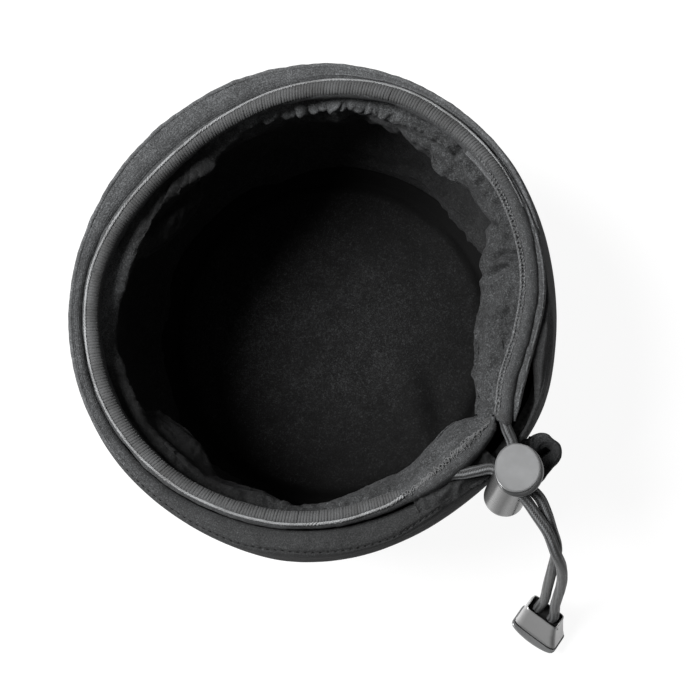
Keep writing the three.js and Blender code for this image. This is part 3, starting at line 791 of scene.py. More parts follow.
edge = build("hem_overlock_edge", [thread_line(a, b, -2, 4.2, 1.12, 0.0, 0.30, 0.30, fade=(332, 356)), thread_line(a, b, -2, 4.2, 1.12, math.pi, 0.30, 0.30, fade=(332, 356)),
                                   thread_line(a, b, -10, 2.0, 1.7, 0.6, 0.16, 0.10, fade=(332, 356))], mat_ridge_highlight)


def beads(s0, s1, shift, length, pitch, radius, off, wob=1.5):
    """A row of short stitches along the casing."""
    parts, s = [], s0
    while s < s1:
        p = float(station(s))
        q = float(psi_start(p)) + shift + rng.normal(0, wob)
        ss = s + np.linspace(0, length, 6)
        pts, nn = casing_at(station(ss), q + rng.normal(0, 1.5) * np.linspace(0, 1, 6), off * np.sin(np.linspace(0.25, math.pi - 0.25, 6)))
        parts.append(tube(pts, radius * np.array([0.6, 0.95, 1, 1, 0.95, 0.6]), 6, nn))
        s += pitch + rng.normal(0, 0.05)
    return parts


# on the right the edge is a narrow flat band inside the tunnel, with a double row of stitches
eb = np.concatenate([np.arange(276.4, 352.0, 0.6)])
fade = smooth(352, 338, eb)
ring = []
for q in np.linspace(0, 2 * math.pi, 17)[:-1]:
    off_r = -2.35 - 0.55 * (1 - fade) + 1.15 * math.cos(q)
    ring.append(polar(eb, hem_r(eb) + off_r, HEM_Z + 1.75 - 0.9 * (1 - fade) + 0.55 * math.sin(q) - 0.35 * math.cos(q)))
P = np.stack(ring, 1)
P[..., 2] += 0.18 * fbm(P, 4.0, 2, 6.6)
build("hem_inner_edge_band", [grid(P, (False, True), (np.arange(len(eb) + 1) * 0.075, np.linspace(0, 0.6, 17)), flip=True, caps=(True, True))], mat_edge_highlight)


def band_beads(p0, p1, r_off, z_off, length, pitch, radius):
    parts, p = [], p0
    while p < p1:
        r_here = float(hem_r(p))
        q = p + np.linspace(0, np.degrees(length / r_here), 6)
        bump = np.sin(np.linspace(0.2, math.pi - 0.2, 6))
        pts = polar(q, hem_r(q) + r_off + rng.normal(0, 0.06) + rng.normal(0, 0.08) * np.linspace(0, 1, 6), HEM_Z + z_off + 0.22 * bump)
        parts.append(tube(pts, radius * np.array([0.6, 0.95, 1, 1, 0.95, 0.6]), 6))
        p += float(np.degrees((pitch + rng.normal(0, 0.05)) / r_here))
    return parts


right_rows = band_beads(276.8, 349, -1.85, 2.42, 0.85, 1.22, 0.30) + band_beads(277.1, 342, -3.0, 2.34, 0.9, 1.26, 0.28)
build("hem_edge_stitches_right", right_rows, mat_loop)
# near-black tubes: painted shade in the needle holes
holes = []
for p in np.arange(313.0, 341, 1.5):
    q = p + np.array([0, 0.12, 0.3, 0.42])
    pts = polar(q, hem_r(q) - 2.45 + rng.normal(0, 0.08), HEM_Z + 2.30 + 0.9 * float(smooth(352, 338, p)) - 0.9)
    holes.append(tube(pts, 0.46, 8))
build("hem_needle_holes", holes, mat_black_shade_and_mark)

# loose looped stitches where the edge runs out onto the flat end of the casing
loops = [thread_line(sta(603), sta(634.5), -2, 5.0, 1.5, 0.0, 0.22, 0.16, wob=4.0), thread_line(sta(603), sta(633), 3, 5.5, 1.9, 2.2, 0.19, 0.14, wob=5.0)]
for lo_p, hi_p, count in ((608.5, 613.5, 7), (621.5, 629.5, 11), (604, 630, 10)):
    for i in range(count):
        p = lo_p + (hi_p - lo_p) * (i + 0.5) / count + rng.normal(0, 0.25)
        th = np.linspace(0, 2 * math.pi, 13)[:-1]
        rs_, rp = 0.55 + 0.45 * rng.random(), 8 + 9 * rng.random()
        tw = rng.normal(0, 0.5)
        ls = sta(p) + rs_ * np.cos(th)
        lp = float(psi_start(p)) + rng.normal(-1, 4) + rp * np.sin(th + tw)
        pts, nn = casing_at(station(ls), lp, 0.22 + 0.14 * np.cos(2 * th))
        loops.append(tube(pts, 0.17, 5, nn, closed=True))
build("casing_end_loops", loops, mat_loop)


# stitched cuffs at the two ends of the casing
def cuff(p0, width, count, off, name, node):
    parts = []
    for i in range(count):
        q = p0 + width * i / max(1, count - 1)
        th = np.linspace(0, 360, 29)[:-1]
        pts, nn = casing_at(np.full(28, q), th, off + 0.05 * np.sin(np.arange(28) * 1.7 + i))
        parts.append(tube(pts, 0.24, 5, nn, closed=True))
    return build(name, parts, mat_stitch, replaces=[node])


cuff(276.5, 1.2, 4, 0.05, "casing_end_stitches_right", "casing_bartack_right")
cuff(633.2, 1.4, 4, 0.03, "casing_end_stitches_left", "casing_bartack_left")

# ------------------------------------------------------------------ wall
def lip_gap(phi):
    p = np.asarray(phi, float) % 360
    return smooth(249, 262, p) * (1 - smooth(298, 314, p))


LIP_P = np.array([245, 254, 262, 270, 278, 284, 289.5, 293, 297, 302, 312, 320])
LIP_R = np.array([77.0, 78.0, 79.8, 80.4, 81.0, 80.4, 77.2, 75.3, 74.9, 75.8, 77.2, 79.0])
LIP_Z = np.array([83.0, 82.2, 81.3, 81.0, 81.0, 81.6, 83.2, 84.6, 84.9, 84.8, 84.5, 84.3])
SEAM_P = np.array([0, 60, 120, 180, 200, 211, 227, 234, 238, 243, 249, 255, 262, 300, 360]) * 1.0
SEAM_D = np.array([1.2, 1.1, 1.1, 1.2, 1.5, 0.4, 1.4, 1.9, 2.2, 1.3, 0.9, 0.4, 0.6, 1.0, 1.2])

phis = np.arange(0, 360, 0.6)
rows, is_seam = [], []
for phi in phis:
    b = float(lip_gap(phi))
    low = float(smooth(150, 185, phi) * (1 - smooth(248, 258, phi)))
    h = float(hem_r(phi)) if not 244 < phi < 278 else float(casing_frame(phi + 360)[0])
    aw = 3.0 if not 244 < phi < 277 else float(casing_frame(phi + 360)[2])
    lip_r, lip_z = lerp(h + aw + 0.45, float(np.interp(phi, LIP_P, LIP_R)), b), lerp(83.0, float(np.interp(phi, LIP_P, LIP_Z)), b)
    r84 = float(wall_r(84, phi))
    K = np.array([lerp(r84 + float(np.interp(phi, SEAM_P, SEAM_D)), float(wall_r(81, phi)) + 0.3, b), lerp(84.35, 82.0, b)])
    K[0] = max(K[0], lip_r + 1.2)
    A = np.array([float(wall_r(78.0, phi)), 78.0])
    zs = np.concatenate([[1.35, 1.9, 2.8, 4.0], np.linspace(5.5, 78.0, 46)])
    out = np.stack([wall_r(zs, phi), zs], 1)
    B = np.array([K[0] + lerp(0.75, 1.9, low), K[1] + lerp(-2.4, 0.55, low)])
    B = lerp(B, np.array([K[0] + 0.7, K[1] + 0.2]), b)
    u = np.linspace(0, 1, 15)[1:, None]
    bez = (1 - u) ** 2 * A + 2 * u * (1 - u) * B + u ** 2 * K
    C = np.array([lerp(lip_r, K[0], 0.62), max(lip_z, K[1]) + lerp(0.85, 0.25, b)])
    B2 = np.array([K[0] - 0.7, K[1] + lerp(1.5, 0.3, b)])
    u = np.linspace(0, 1, 9)[1:, None]
    up_c = (1 - u) ** 2 * K + 2 * u * (1 - u) * B2 + u ** 2 * C
    L = np.array([lip_r, lip_z])
    mid = np.array([lerp(lip_r, C[0], 0.36), C[1] - lerp(0.1, 0.25, b)])
    u = np.linspace(0, 1, 9)[1:, None]
    col = (1 - u) ** 2 * C + 2 * u * (1 - u) * mid + u ** 2 * L
    tuck = np.array([[lip_r + 0.05, L[1] - 0.5], [lip_r + 0.45, L[1] - 1.0]])
    back_z = np.concatenate([[79.0, 77.0], np.linspace(74, 3.2, 17)])
    back = np.stack([wall_r(back_z, phi) - 1.15, back_z], 1)
    foot = np.array([[69.4, 2.3], [67.2, 2.3], [67.2, 1.35]])
    rows.append(np.concatenate([out, bez, up_c, col, tuck, back, foot]))
rows = np.array(rows)
nv = rows.shape[1]
P = np.stack([rows[..., 0] * np.cos(phis * RAD)[:, None], rows[..., 0] * np.sin(phis * RAD)[:, None], rows[..., 1]], -1)
radial = np.stack([np.cos(phis * RAD), np.sin(phis * RAD), np.zeros(len(phis))], -1)[:, None, :]
Z = rows[..., 1]
J = np.arange(nv)[None, :]
PHI = np.broadcast_to(phis[:, None], Z.shape)
lower = 1 - smooth(38, 58, Z)
soft = fbm(P * np.array([1, 1, 0.75]), 40.0, 1, 1.7) * (0.20 + 1.2 * lower) + fbm(P * np.array([1, 1, 0.45]), 9.0, 2, 5.2) * (0.05 + 0.26 * lower)
soft -= 0.40 * lower * np.exp(-(fbm(P * np.array([1, 1, 0.45]), 34.0, 1, 13.0) / 0.20) ** 2)
# puckers where the fabric is gathered into the seams, above and below
near_seam = np.exp(-((J - 63) / 5.0) ** 2) * (J < 80)
gather = np.sin(phis * RAD * 128 + 2.5 * np.sin(phis * RAD * 9))[:, None] * near_seam * 0.03
foot_fold = np.sin(phis * RAD * 62 + 2.0 * np.sin(phis * RAD * 11))[:, None] * ((1 - smooth(4, 14, Z)) * 0.34 + (1 - smooth(6, 30, Z)) * 0.20) * smooth(1.3, 4, Z)
collar = fbm(P, 7.0, 2, 33.0) * 0.22 * ((J > 63) & (J < 80))
piping = 0.22 * np.exp(-((J - 65.2) / 1.3) ** 2) * (1 - smooth(165, 200, PHI) * (1 - smooth(262, 285, PHI)))
P = P + radial * (soft * smooth(3, 20, Z) * (1 - 0.55 * smooth(70, 84, Z)) + gather + foot_fold)[..., None]
P[..., 2] += collar + piping + near_seam * 0.05 * np.sin(phis * RAD * 128 + 1.0)[:, None]
P = make_room(P)
girth = 2 * math.pi * 80 / 10
U = np.linspace(0, girth, len(phis) + 1)
V = np.concatenate([[0], np.cumsum(np.hypot(*np.diff(rows[0], axis=0).T))]) / 10.0
V = np.append(V, V[-1] + 0.1)
wall = build("side_wall_fabric", [grid(P, (True, True), (U, V))], mat_outer, replaces=["side_wall_shell"])
wall_P = P
seam_line = P[:, 63, :]

# the turned edge of the collar seam shows as a thin cord-like line on the shoulder, drawn in the lighter edge fabric as
# a painted highlight
k0 = np.nonzero((phis < 172) | (phis > 318))[0]
k0 = np.concatenate([k0[phis[k0] > 180], k0[phis[k0] < 180]])
line = P[k0, 64, :] * np.array([0.998, 0.998, 1]) + np.array([0, 0, 0.36])
u = np.linspace(0, 1, len(line))
thick = 0.78 * smooth(0, 0.06, u) * (1 - smooth(0.93, 1, u)) + 0.02
build("collar_seam_edge", [tube(line + fbm(line, 6.0, 2, 71.0)[:, None] * np.array([0.2, 0.2, 0.15]), thick, 8, np.array([0, 0, 1.0]), flat=0.7)],
      mat_edge_highlight)
k1 = k0[:150]
line = P[k1, 74, :] + np.array([0, 0, 0.05])
u = np.linspace(0, 1, len(line))
build("collar_top_edge", [tube(line + fbm(line, 6.0, 2, 75.0)[:, None] * np.array([0.2, 0.2, 0.1]), 0.40 * smooth(0, 0.1, u) * (1 - smooth(0.7, 1, u)) + 0.02, 8, np.array([0, 0, 1.0]), flat=0.6)],
      mat_edge_highlight)

# stitches sunk in the seam between collar and wall, drawn near-black: painted shade in the sunken seam
parts = []
for phi in np.arange(160, 262, 1.75):
    q = np.interp(phi + np.array([0, 0.35, 0.75, 1.1]), phis, np.arange(len(phis)))
    pts = np.stack([np.interp(q, np.arange(len(phis)), seam_line[:, k]) for k in range(3)], 1)
    pts[:, 2] += np.array([-0.1, 0.22, 0.22, -0.1])
    parts.append(tube(pts, 0.24, 6))
build("collar_seam_stitches", parts, mat_black_shade_and_mark)

# folded corner of fabric between the flat end of the casing and the collar
gp = np.linspace(245.5, 268.0, 76)
gt = np.linspace(0, 1, 18)
rows = []
for phi in gp:
    f = (phi - 245.5) / 13.5
    far = float(smooth(255.0, 262.0, phi))
    r0 = float(casing_frame(phi + 360)[0]) + 0.3
    r1 = lerp(float(np.interp(phi, LIP_P, LIP_R)) + 1.6, float(np.interp(phi, LIP_P, LIP_R)) + 0.6, far)
    z0, z1 = 84.6 - 0.7 * min(f, 1.0) - 1.6 * far, 84.4 - 1.2 * min(f, 1.0) - 1.9 * far
    f = min(f, 1.0)
    rr_ = lerp(r0, r1, gt)
    zz_ = lerp(z0, z1, gt) + 1.3 * np.sin(math.pi * gt) * (1 - 0.6 * f)
    rows.append(polar(phi, rr_, zz_))
P = np.array(rows)
fold = fbm(P, 6.5, 1, 15.0) * 2.4
ridge_f = (1 - np.clip(np.abs(fbm(P, 7.5, 1, 44.0)) * 6, 0, 1)) * 1.3
P[..., 2] += (fold + ridge_f) * np.sin(math.pi * np.clip(gt, 0.05, 0.95))[None, :]
P = make_room(P)
under = P.copy()
under[..., 2] -= 0.9
P = np.concatenate([P, under[:, ::-1]], 1)
build("casing_corner_fold", [grid(P, (False, True), None, flip=True, caps=(True, True))], mat_outer)

# ------------------------------------------------------------------ strip beside the casing near the cord exit
STRIP = [(348, 79.0), (340, 78.6), (329, 77.9), (318, 77.2), (308.5, 76.1), (300.8, 74.5), (295.6, 73.8), (290.2, 73.7), (284.9, 74.3), (281.0, 75.4), (278.9, 76.5), (277.7, 77.2)]
line = centripetal([polar(a, r, lerp(84.9, 86.0, float(1 - smooth(318, 342, a)))) for a, r in STRIP], 160)
tan = unit(np.gradient(line, axis=0))
side_v = unit(np.cross(tan, [0, 0, 1.0]))
upv = np.cross(side_v, tan)
th = np.linspace(0, 2 * math.pi, 29)[:-1]
u = np.linspace(0, 1, 160)
w_half = 1.45 * (1 - 0.75 * smooth(0.93, 1.0, u) ** 1.5) * smooth(-0.25, 0.3, u)
t_half = 1.05 * (1 - 0.6 * smooth(0.93, 1.0, u)) * smooth(-0.2, 0.3, u)
P = line[:, None, :] + (w_half[:, None] * np.cos(th))[..., None] * side_v[:, None, :] + (t_half[:, None] * np.sin(th))[..., None] * upv[:, None, :]
P = P + (fbm(P, 5.0, 2, 4.4) * 0.45)[..., None] * np.array([0, 0, 1.0])
P[..., 2] += 0.10 * np.sin(u * 62)[:, None]
build("casing_flange", [grid(P, (False, True), (np.arange(161) * 0.045, np.linspace(0, 0.9, 29)), caps=(True, True))], mat_casing)
parts = []
for i in range(22):
    k0 = 62 + i * 4
    c = line[k0:k0 + 3] + side_v[k0:k0 + 3] * -0.9 + upv[k0:k0 + 3] * np.array([[0.78], [0.92], [0.78]])
    parts.append(tube(c, 0.16, 5))
build("casing_flange_stitches", parts, mat_loop)
c = line[4:152] - side_v[4:152] * 0.55 + upv[4:152] * 0.86
build("casing_flange_edge", [tube(c + fbm(c, 3.0, 2, 81.0)[:, None] * 0.12, 0.36, 7)], mat_edge_highlight)

# ------------------------------------------------------------------ padding and board, hidden inside
for node, mat in (("side_wall_foam", mat_foam), ("front_foam", mat_foam), ("front_stiffener", mat_board)):
    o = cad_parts[node]
    o.data.materials.clear()
    o.data.materials.append(mat)

# ------------------------------------------------------------------ gathered lining
LOBE_P = np.array([273.5, 279.4, 287.5, 295, 300.3, 310.8, 317, 324.2, 329.2, 333, 337.2, 342.3, 347.5, 355, 359.8, 364.1, 371.6, 376.2, 381.1,
                   386.9, 392.5, 400.2, 405.8, 411.3, 417.4, 423.3, 429.5, 433.0, 437.4, 443.8, 458.7, 466, 471.5, 479, 486.6, 493.5, 499.5,
                   504.6, 510.5, 516.2, 520.5, 527.5, 536, 540.5, 544, 550.5, 559, 565, 569, 575.7, 583.5, 590.3, 596.3, 603, 609.2, 615.1, 623.0, 630.1, 633.9, 636.4])
LOBE_R = np.array([66.4, 59.5, 55.3, 53.9, 53.9, 55.5, 56.9, 59.2, 62.3, 64.4, 66.2, 67.8, 64.8, 62.9, 63.3, 65, 69.7, 69.8, 69.6,
                   68.5, 67.5, 69, 70.5, 68.6, 67, 67.6, 68.6, 66.0, 61.0, 56.0, 55.0, 60.0, 66.0, 68.3, 68.6, 68.6, 69.2,
                   70.3, 70, 66.5, 61.6, 58.2, 56.6, 58.5, 64.5, 63.2, 61.8, 62.9, 66.5, 65.4, 65, 63, 61.4, 62.1, 62.3, 59.1, 57.2, 58.6, 62.0, 66.8])
CREASES = [([(493, 257), (504, 254), (518, 256)], 1.5, 1.8), ([(506, 267), (496, 270), (485, 277)], 1.2, 1.7), ([(506, 310), (498, 314), (489, 321)], 1.3, 1.8),
           ([(506, 331), (493, 355), (482, 374)], 1.2, 2.4), ([(512, 288), (505, 300), (500, 322)], 0.7, 1.8),
           ([(498, 225), (492, 240), (497, 256)], 0.8, 2.0),
           ([(345, 117), (356, 120), (372, 127), (388, 133), (398, 141), (410, 148)], 1.8, 2.2), ([(414, 152), (428, 162), (440, 170), (452, 182), (464, 193), (470, 201)], 1.2, 2.2),
           ([(474, 207), (484, 220), (496, 233)], 1.2, 2.0), ([(372, 127), (368, 134), (372, 142)], 0.8, 1.5), ([(322, 114), (312, 118), (300, 117), (288, 121)], 1.3, 2.0),
           ([(152, 236), (160, 224), (172, 214), (188, 200), (204, 184), (226, 166), (244, 146)], 1.0, 2.4), ([(132, 300), (136, 282), (142, 262)], 1.0, 2.2),
           ([(204, 186), (214, 178), (226, 178), (238, 168)], 1.0, 2.0), ([(120, 366), (128, 378), (140, 398), (152, 412)], 0.9, 2.0)]


def settle(P, rest, pin, frames, gravity, pressure, bending, guard):
    """Cloth simulation of a grid of points, at ten times its size: rest gives the unstrained lengths."""
    k = 0.01
    nu, nv_ = P.shape[:2]
    _, faces, _ = grid(P)
    me = bpy.data.meshes.new("cloth_run")
    me.from_pydata((P.reshape(-1, 3) * k).tolist(), [], faces)
    ob = bpy.data.objects.new("cloth_run", me)
    scene.collection.objects.link(ob)
    ob.shape_key_add(name="Basis")
    key = ob.shape_key_add(name="rest")
    key.data.foreach_set("co", (rest.reshape(-1, 3) * k).ravel())
    group = ob.vertex_groups.new(name="pin")
    w = pin.reshape(-1)
    for level in np.unique(np.round(w[w > 0], 2)):
        group.add([int(i) for i in np.nonzero(np.abs(w - level) < 0.006)[0]], float(level), "REPLACE")
    mod = ob.modifiers.new("cloth", "CLOTH")
    s = mod.settings
    s.quality, s.mass, s.air_damping = 6, 0.35, 2.0
    s.tension_stiffness = s.compression_stiffness = 25
    s.shear_stiffness = 8
    s.bending_stiffness = bending
    s.tension_damping = s.compression_damping = s.shear_damping = 8
    s.bending_damping = 1.0
    s.vertex_group_mass = "pin"
    s.rest_shape_key = key
    s.effector_weights.gravity = gravity
    s.use_pressure = True
    s.uniform_pressure_force = pressure
    mod.collision_settings.use_collision = True
    mod.collision_settings.distance_min = 0.004
    _, gfaces, _ = grid(guard)
    gm = bpy.data.meshes.new("guard_run")
    gm.from_pydata((guard.reshape(-1, 3) * k).tolist(), [], gfaces)
    go = bpy.data.objects.new("guard_run", gm)
    scene.collection.objects.link(go)
    go.modifiers.new("hit", "COLLISION")
    go.collision.thickness_outer = 0.004
    for f in range(1, frames + 1):
        scene.frame_set(f)
    got = ob.evaluated_get(bpy.context.evaluated_depsgraph_get())
    co = np.empty(nu * nv_ * 3)
    got.data.vertices.foreach_get("co", co)
    scene.frame_set(1)
    bpy.data.objects.remove(ob)
    bpy.data.objects.remove(go)
    bpy.data.meshes.remove(me)
    bpy.data.meshes.remove(gm)
    return co.reshape(nu, nv_, 3) / k


ncol = 660
cols = np.linspace(274.6, 638.4, ncol)
reach = np.interp(cols, LOBE_P, LOBE_R)
kern = np.exp(-0.5 * (np.arange(-14, 15) / 3.5) ** 2)
kern /= kern.sum()
reach = np.convolve(np.pad(reach, 14, mode="edge"), kern, mode="valid")
flap = smooth(604, 613, cols)
tuck_in = 1 - smooth(277.0, 286.0, cols)
flap_end = smooth(634.0, 638.4, cols)
top_pt, _ = casing_at(np.clip(cols, 275.6, 636.3), lerp(232.0, 166.0, flap), -0.15)
top_r, top_z = np.hypot(top_pt[:, 0], top_pt[:, 1]), top_pt[:, 2] - 4.2 * tuck_in - 0.8 * flap_end
reach = np.minimum(reach, top_r + 0.6)
depth = np.clip(top_r - reach, 0, None)
z1 = 70.0 + 1.6 * np.sin(cols * RAD * 3 + 0.7) + 1.0 * np.sin(cols * RAD * 8) + 4.5 * flap
foot = 65.2 + 0.9 * np.sin(cols * RAD * 5) + 0.6 * np.sin(cols * RAD * 11 + 1.0)


def body(z):
    return np.minimum(wall_r(z, cols) - 6.3, 78.6)


ctrl = np.stack([
    np.stack([top_r, top_z], 1),
    np.stack([lerp(top_r, reach, 0.28), top_z - 1.9 - 0.06 * depth + 1.5 * flap], 1),
    np.stack([lerp(top_r, reach, 0.70), lerp(top_z, z1, 0.47) + 2.2 * flap], 1),
    np.stack([reach, z1 + 1.5], 1),
    np.stack([reach + 0.9 + 0.16 * depth, z1 - 5], 1),
    np.stack([lerp(reach, body(54), 0.72), z1 - 15], 1),
    np.stack([body(40) - 0.6, 40 + 0 * cols], 1),
    np.stack([body(24) - 0.8, 24 + 0 * cols], 1),
    np.stack([foot + 2.2, 12.5 + 0 * cols], 1),
    np.stack([foot, 7.75 + 0 * cols], 1)], 1)
ext = np.concatenate([2 * ctrl[:, :1] - ctrl[:, 1:2], ctrl, 2 * ctrl[:, -1:] - ctrl[:, -2:-1]], 1)
pieces = []
for j, n in enumerate([10, 12, 13, 11, 10, 10, 8, 9, 7]):
    t = np.linspace(0, 1, n, endpoint=False)[None, :, None]
    a_, b_, c_, d_ = (ext[:, j + k][:, None, :] for k in range(4))
    pieces.append(0.5 * (2 * b_ + (c_ - a_) * t + (2 * a_ - 5 * b_ + 4 * c_ - d_) * t * t + (3 * b_ - a_ - 3 * c_ + d_) * t ** 3))
pieces.append(ctrl[:, -1:])
prof = np.concatenate(pieces, 1)
nrow = prof.shape[1]
ang = cols[:, None] + 0 * prof[..., 0]
P = np.stack([prof[..., 0] * np.cos(ang * RAD), prof[..., 0] * np.sin(ang * RAD), prof[..., 1]], -1)


def normals(P):
    du = np.gradient(P, axis=0)
    dv = np.gradient(P, axis=1)
    return unit(np.cross(du, dv))


N = normals(P)
if (N[:, 40] * P[:, 40]).sum() > 0:
    N = -N
down = np.concatenate([np.zeros((ncol, 1)), np.cumsum(np.linalg.norm(np.diff(P, axis=1), axis=2), axis=1)], 1)
s_mm = np.concatenate([[0], np.cumsum(np.linalg.norm(np.diff(top_pt, axis=0), axis=1))])
S = s_mm[:, None] + 0 * down
flat = np.stack([S, down, 0 * S], -1)
wander = fbm(flat * np.array([1, 0.8, 1]), 17.0, 2, 2.0)
patch = np.clip(0.55 + 1.4 * fbm(flat * np.array([1, 0.3, 1]), 38.0, 1, 9.0), 0.1, 1.2)
loud = (0.40 + 0.95 * smooth(326, 345, cols) * (1 - smooth(425, 445, cols)))[:, None] * (1 - 0.8 * flap[:, None])
phase = S / 4.6 * 2 * math.pi + 3.4 * np.sin(S / 21.0) + 2.3 * np.sin(S / 8.7 + 1.0) + 4.0 * wander
tight = 2 * np.abs(np.sin(phase / 2)) ** 0.8 - 1.1
groove = 0 * S
for line, deep, wide in CREASES:
    d = near_line(P, line)
    deep, wide = 1.5 * deep, 1.9 * wide
    side_of = (P[..., 2] > 62) & (P[..., 2] < 86)
    groove += (deep * np.exp(-(d / wide) ** 2) - 0.35 * deep * np.exp(-((d - 2.1 * wide) / (1.3 * wide)) ** 2)) * side_of
near = smooth(0.6, 2.4, down) * (1 - smooth(4.5, 8.0, down))
forced = smooth(363, 367, cols) * (1 - smooth(381, 386, cols))
# crumpled band just under the casing, and the deep gap that it leaves there in places
lumps = 1.5 * fbm(flat * np.array([1, 1.25, 1]), 4.4, 2, 51.0) - 0.9 * np.exp(-(fbm(flat, 6.0, 1, 57.0) / 0.10) ** 2)
frill = 1.5 * np.exp(-((down - 4.9 - 0.9 * np.sin(S / 6.1)) / 2.1) ** 2) - 2.6 * np.exp(-((down - 2.0) / 1.1) ** 2) * np.clip(0.45 + 1.6 * fbm(flat * np.array([1, 0, 0]), 9.0, 1, 63.0) + 0.8 * forced[:, None], 0, 1)
# soft puffs that stand out over the shaded side
side_on = (smooth(416, 428, cols) * (1 - smooth(585, 600, cols)))[:, None]
roll_on = (smooth(415, 423, cols) * (1 - 0.55 * smooth(512, 524, cols)) * (1 - smooth(560, 585, cols)))[:, None]
scallop = 0.78 + 0.75 * fbm(flat * np.array([1, 0, 0]), 22.0, 2, 87.0)
right_on = (smooth(277, 286, cols) * (1 - smooth(338, 352, cols)))[:, None]
facet = 1.9 * right_on * fbm(flat * np.array([0.45, 1.2, 1]) + 2.5 * wander[..., None], 7.0, 2, 91.0) * smooth(1.5, 5, down) * (1 - smooth(20, 28, down))
roll = roll_on * np.clip(scallop, 0.25, 1.3) * (4.6 * np.exp(-((down - 5.4 - 1.0 * np.sin(S / 13.0)) / 2.5) ** 2) - 1.0 * np.exp(-((down - 1.6) / 0.9) ** 2))
puff_ring = side_on * np.clip(0.35 + 1.2 * fbm(flat * np.array([1, 0.25, 0]), 18.0, 1, 67.0), 0, 1.0) * 0.8 * np.exp(-((down - 5.0) / 3.4) ** 2)
puffs = fbm(flat * np.array([1, 1.1, 1]), 15.0, 2, 8.0) * smooth(2, 9, down) * (1 - 0.6 * smooth(60, 80, down))
q = flat * np.array([1, 0.9, 1]) + 7.0 * np.stack([fbm(flat, 24.0, 1, 61.0), fbm(flat, 24.0, 1, 73.0), 0 * S], -1)
crease = np.exp(-(fbm(q, 21.0, 1, 21.0) / 0.055) ** 2) * smooth(1.5, 6, down) * (1 - smooth(45, 70, down))
crease2 = np.exp(-(fbm(q, 12.0, 1, 27.0) / 0.05) ** 2) * smooth(1.0, 4, down) * (1 - smooth(14, 30, down)) * loud
small = fbm(flat, 4.5, 3, 31.0) * smooth(0.5, 4, down)
nap = fbm(flat, 1.7, 2, 35.0) * smooth(0.5, 2, down)
calm = (1 - 0.65 * flap)[:, None]
hold = smooth(0.0, 1.5, down) * smooth(0, 3, down[:, -1:] - down)
start = P + N * ((0.35 * tight * near * patch * loud + 1.2 * puffs * calm + 0.3 * small * calm + puff_ring) * hold)[..., None]
grow = 1 + (0.11 * np.exp(-down / 9.0) + 0.075) * (1 - smooth(48, 70, down)) * (1 - 0.75 * flap[:, None])
rest = start.copy()
rest[..., 0] *= grow
rest[..., 1] *= grow
rest[..., 2] *= 1.03
pin = np.zeros((ncol, nrow))
pin[:, 0:2] = 1
pin[:, -8:] = 1
pin[:3], pin[-3:] = 1, 1
pin[(flap > 0.5)[:, None] & (down < 3)] = 1
sel = np.arange(0, ncol, 2)
if sel[-1] != ncol - 1:
    sel = np.append(sel, ncol - 1)
guard = (P - N * 3.2)[sel][:, 6:-4]
got = settle(start[sel], rest[sel], pin[sel], 16, 0.25, -0.6, 1.2, guard)
P = np.stack([np.stack([np.interp(np.arange(ncol), sel, got[:, j, k]) for k in range(3)], -1) for j in range(nrow)], 1)
N2 = normals(P)
if (N2[:, 40] * P[:, 40]).sum() > 0:
    N2 = -N2
P = P + N2 * (((0.34 * tight * patch + 1.1 * lumps) * near * loud * (1 - 0.8 * roll_on) + frill * loud * (1 - flap[:, None]) - 0.5 * crease2 * calm + 0.22 * small * calm + 0.12 * nap
               + 0.25 * lumps * side_on * near + roll + facet - groove) * hold)[..., None]
U = np.append(s_mm / 10.0, s_mm[-1] / 10.0 + 0.08)
V = np.append(down.mean(0) / 10.0, down.mean(0)[-1] / 10.0 + 0.1)
lining = build("side_wall_lining_fabric", [grid(P, (False, False), (U, V))], mat_lining, replaces=["side_wall_lining"])

# ------------------------------------------------------------------ fleece floor
nr, na = 90, 300
rr = np.linspace(0, 1, nr) ** 0.8 * 67.2
aa = np.arange(na) * 360.0 / na
A2, R2 = np.meshgrid(aa, rr, indexing="ij")
P = polar(A2, R2, 7.7)
dent = seen(440, 405, 8.0)
across = (P[..., 0] - dent[0]) * 0.809 - (P[..., 1] - dent[1]) * 0.588
alongd = (P[..., 0] - dent[0]) * 0.588 + (P[..., 1] - dent[1]) * 0.809
dz = fbm(P, 38.0, 3, 6.0) * 1.7 + fbm(P, 9.0, 2, 7.0) * 0.2
dz -= 1.1 * np.exp(-(across / 4.5) ** 2) * np.exp(-(alongd / 15.0) ** 2)
dz += 2.3 * np.exp(-((across + 9.5) / 6.5) ** 2) * np.exp(-(alongd / 19.0) ** 2)
dz += 3.4 * smooth(62.5, 66.5, R2) - 1.0 * np.exp(-((R2 - 61.8) / 1.8) ** 2) + 0.8 * np.exp(-((R2 - 56) / 3.5) ** 2)
dz *= 1 - 0.0 * R2
P[..., 2] += np.maximum(dz, -1.0)
U = aa / 10.0
U = np.append(U, 36.0)
V = np.append(rr / 10.0, 6.8)
floor_lining = build("front_panel_fleece", [grid(P, (True, False), (U, V), flip=True)], mat_floor, replaces=["front_panel_lining"])

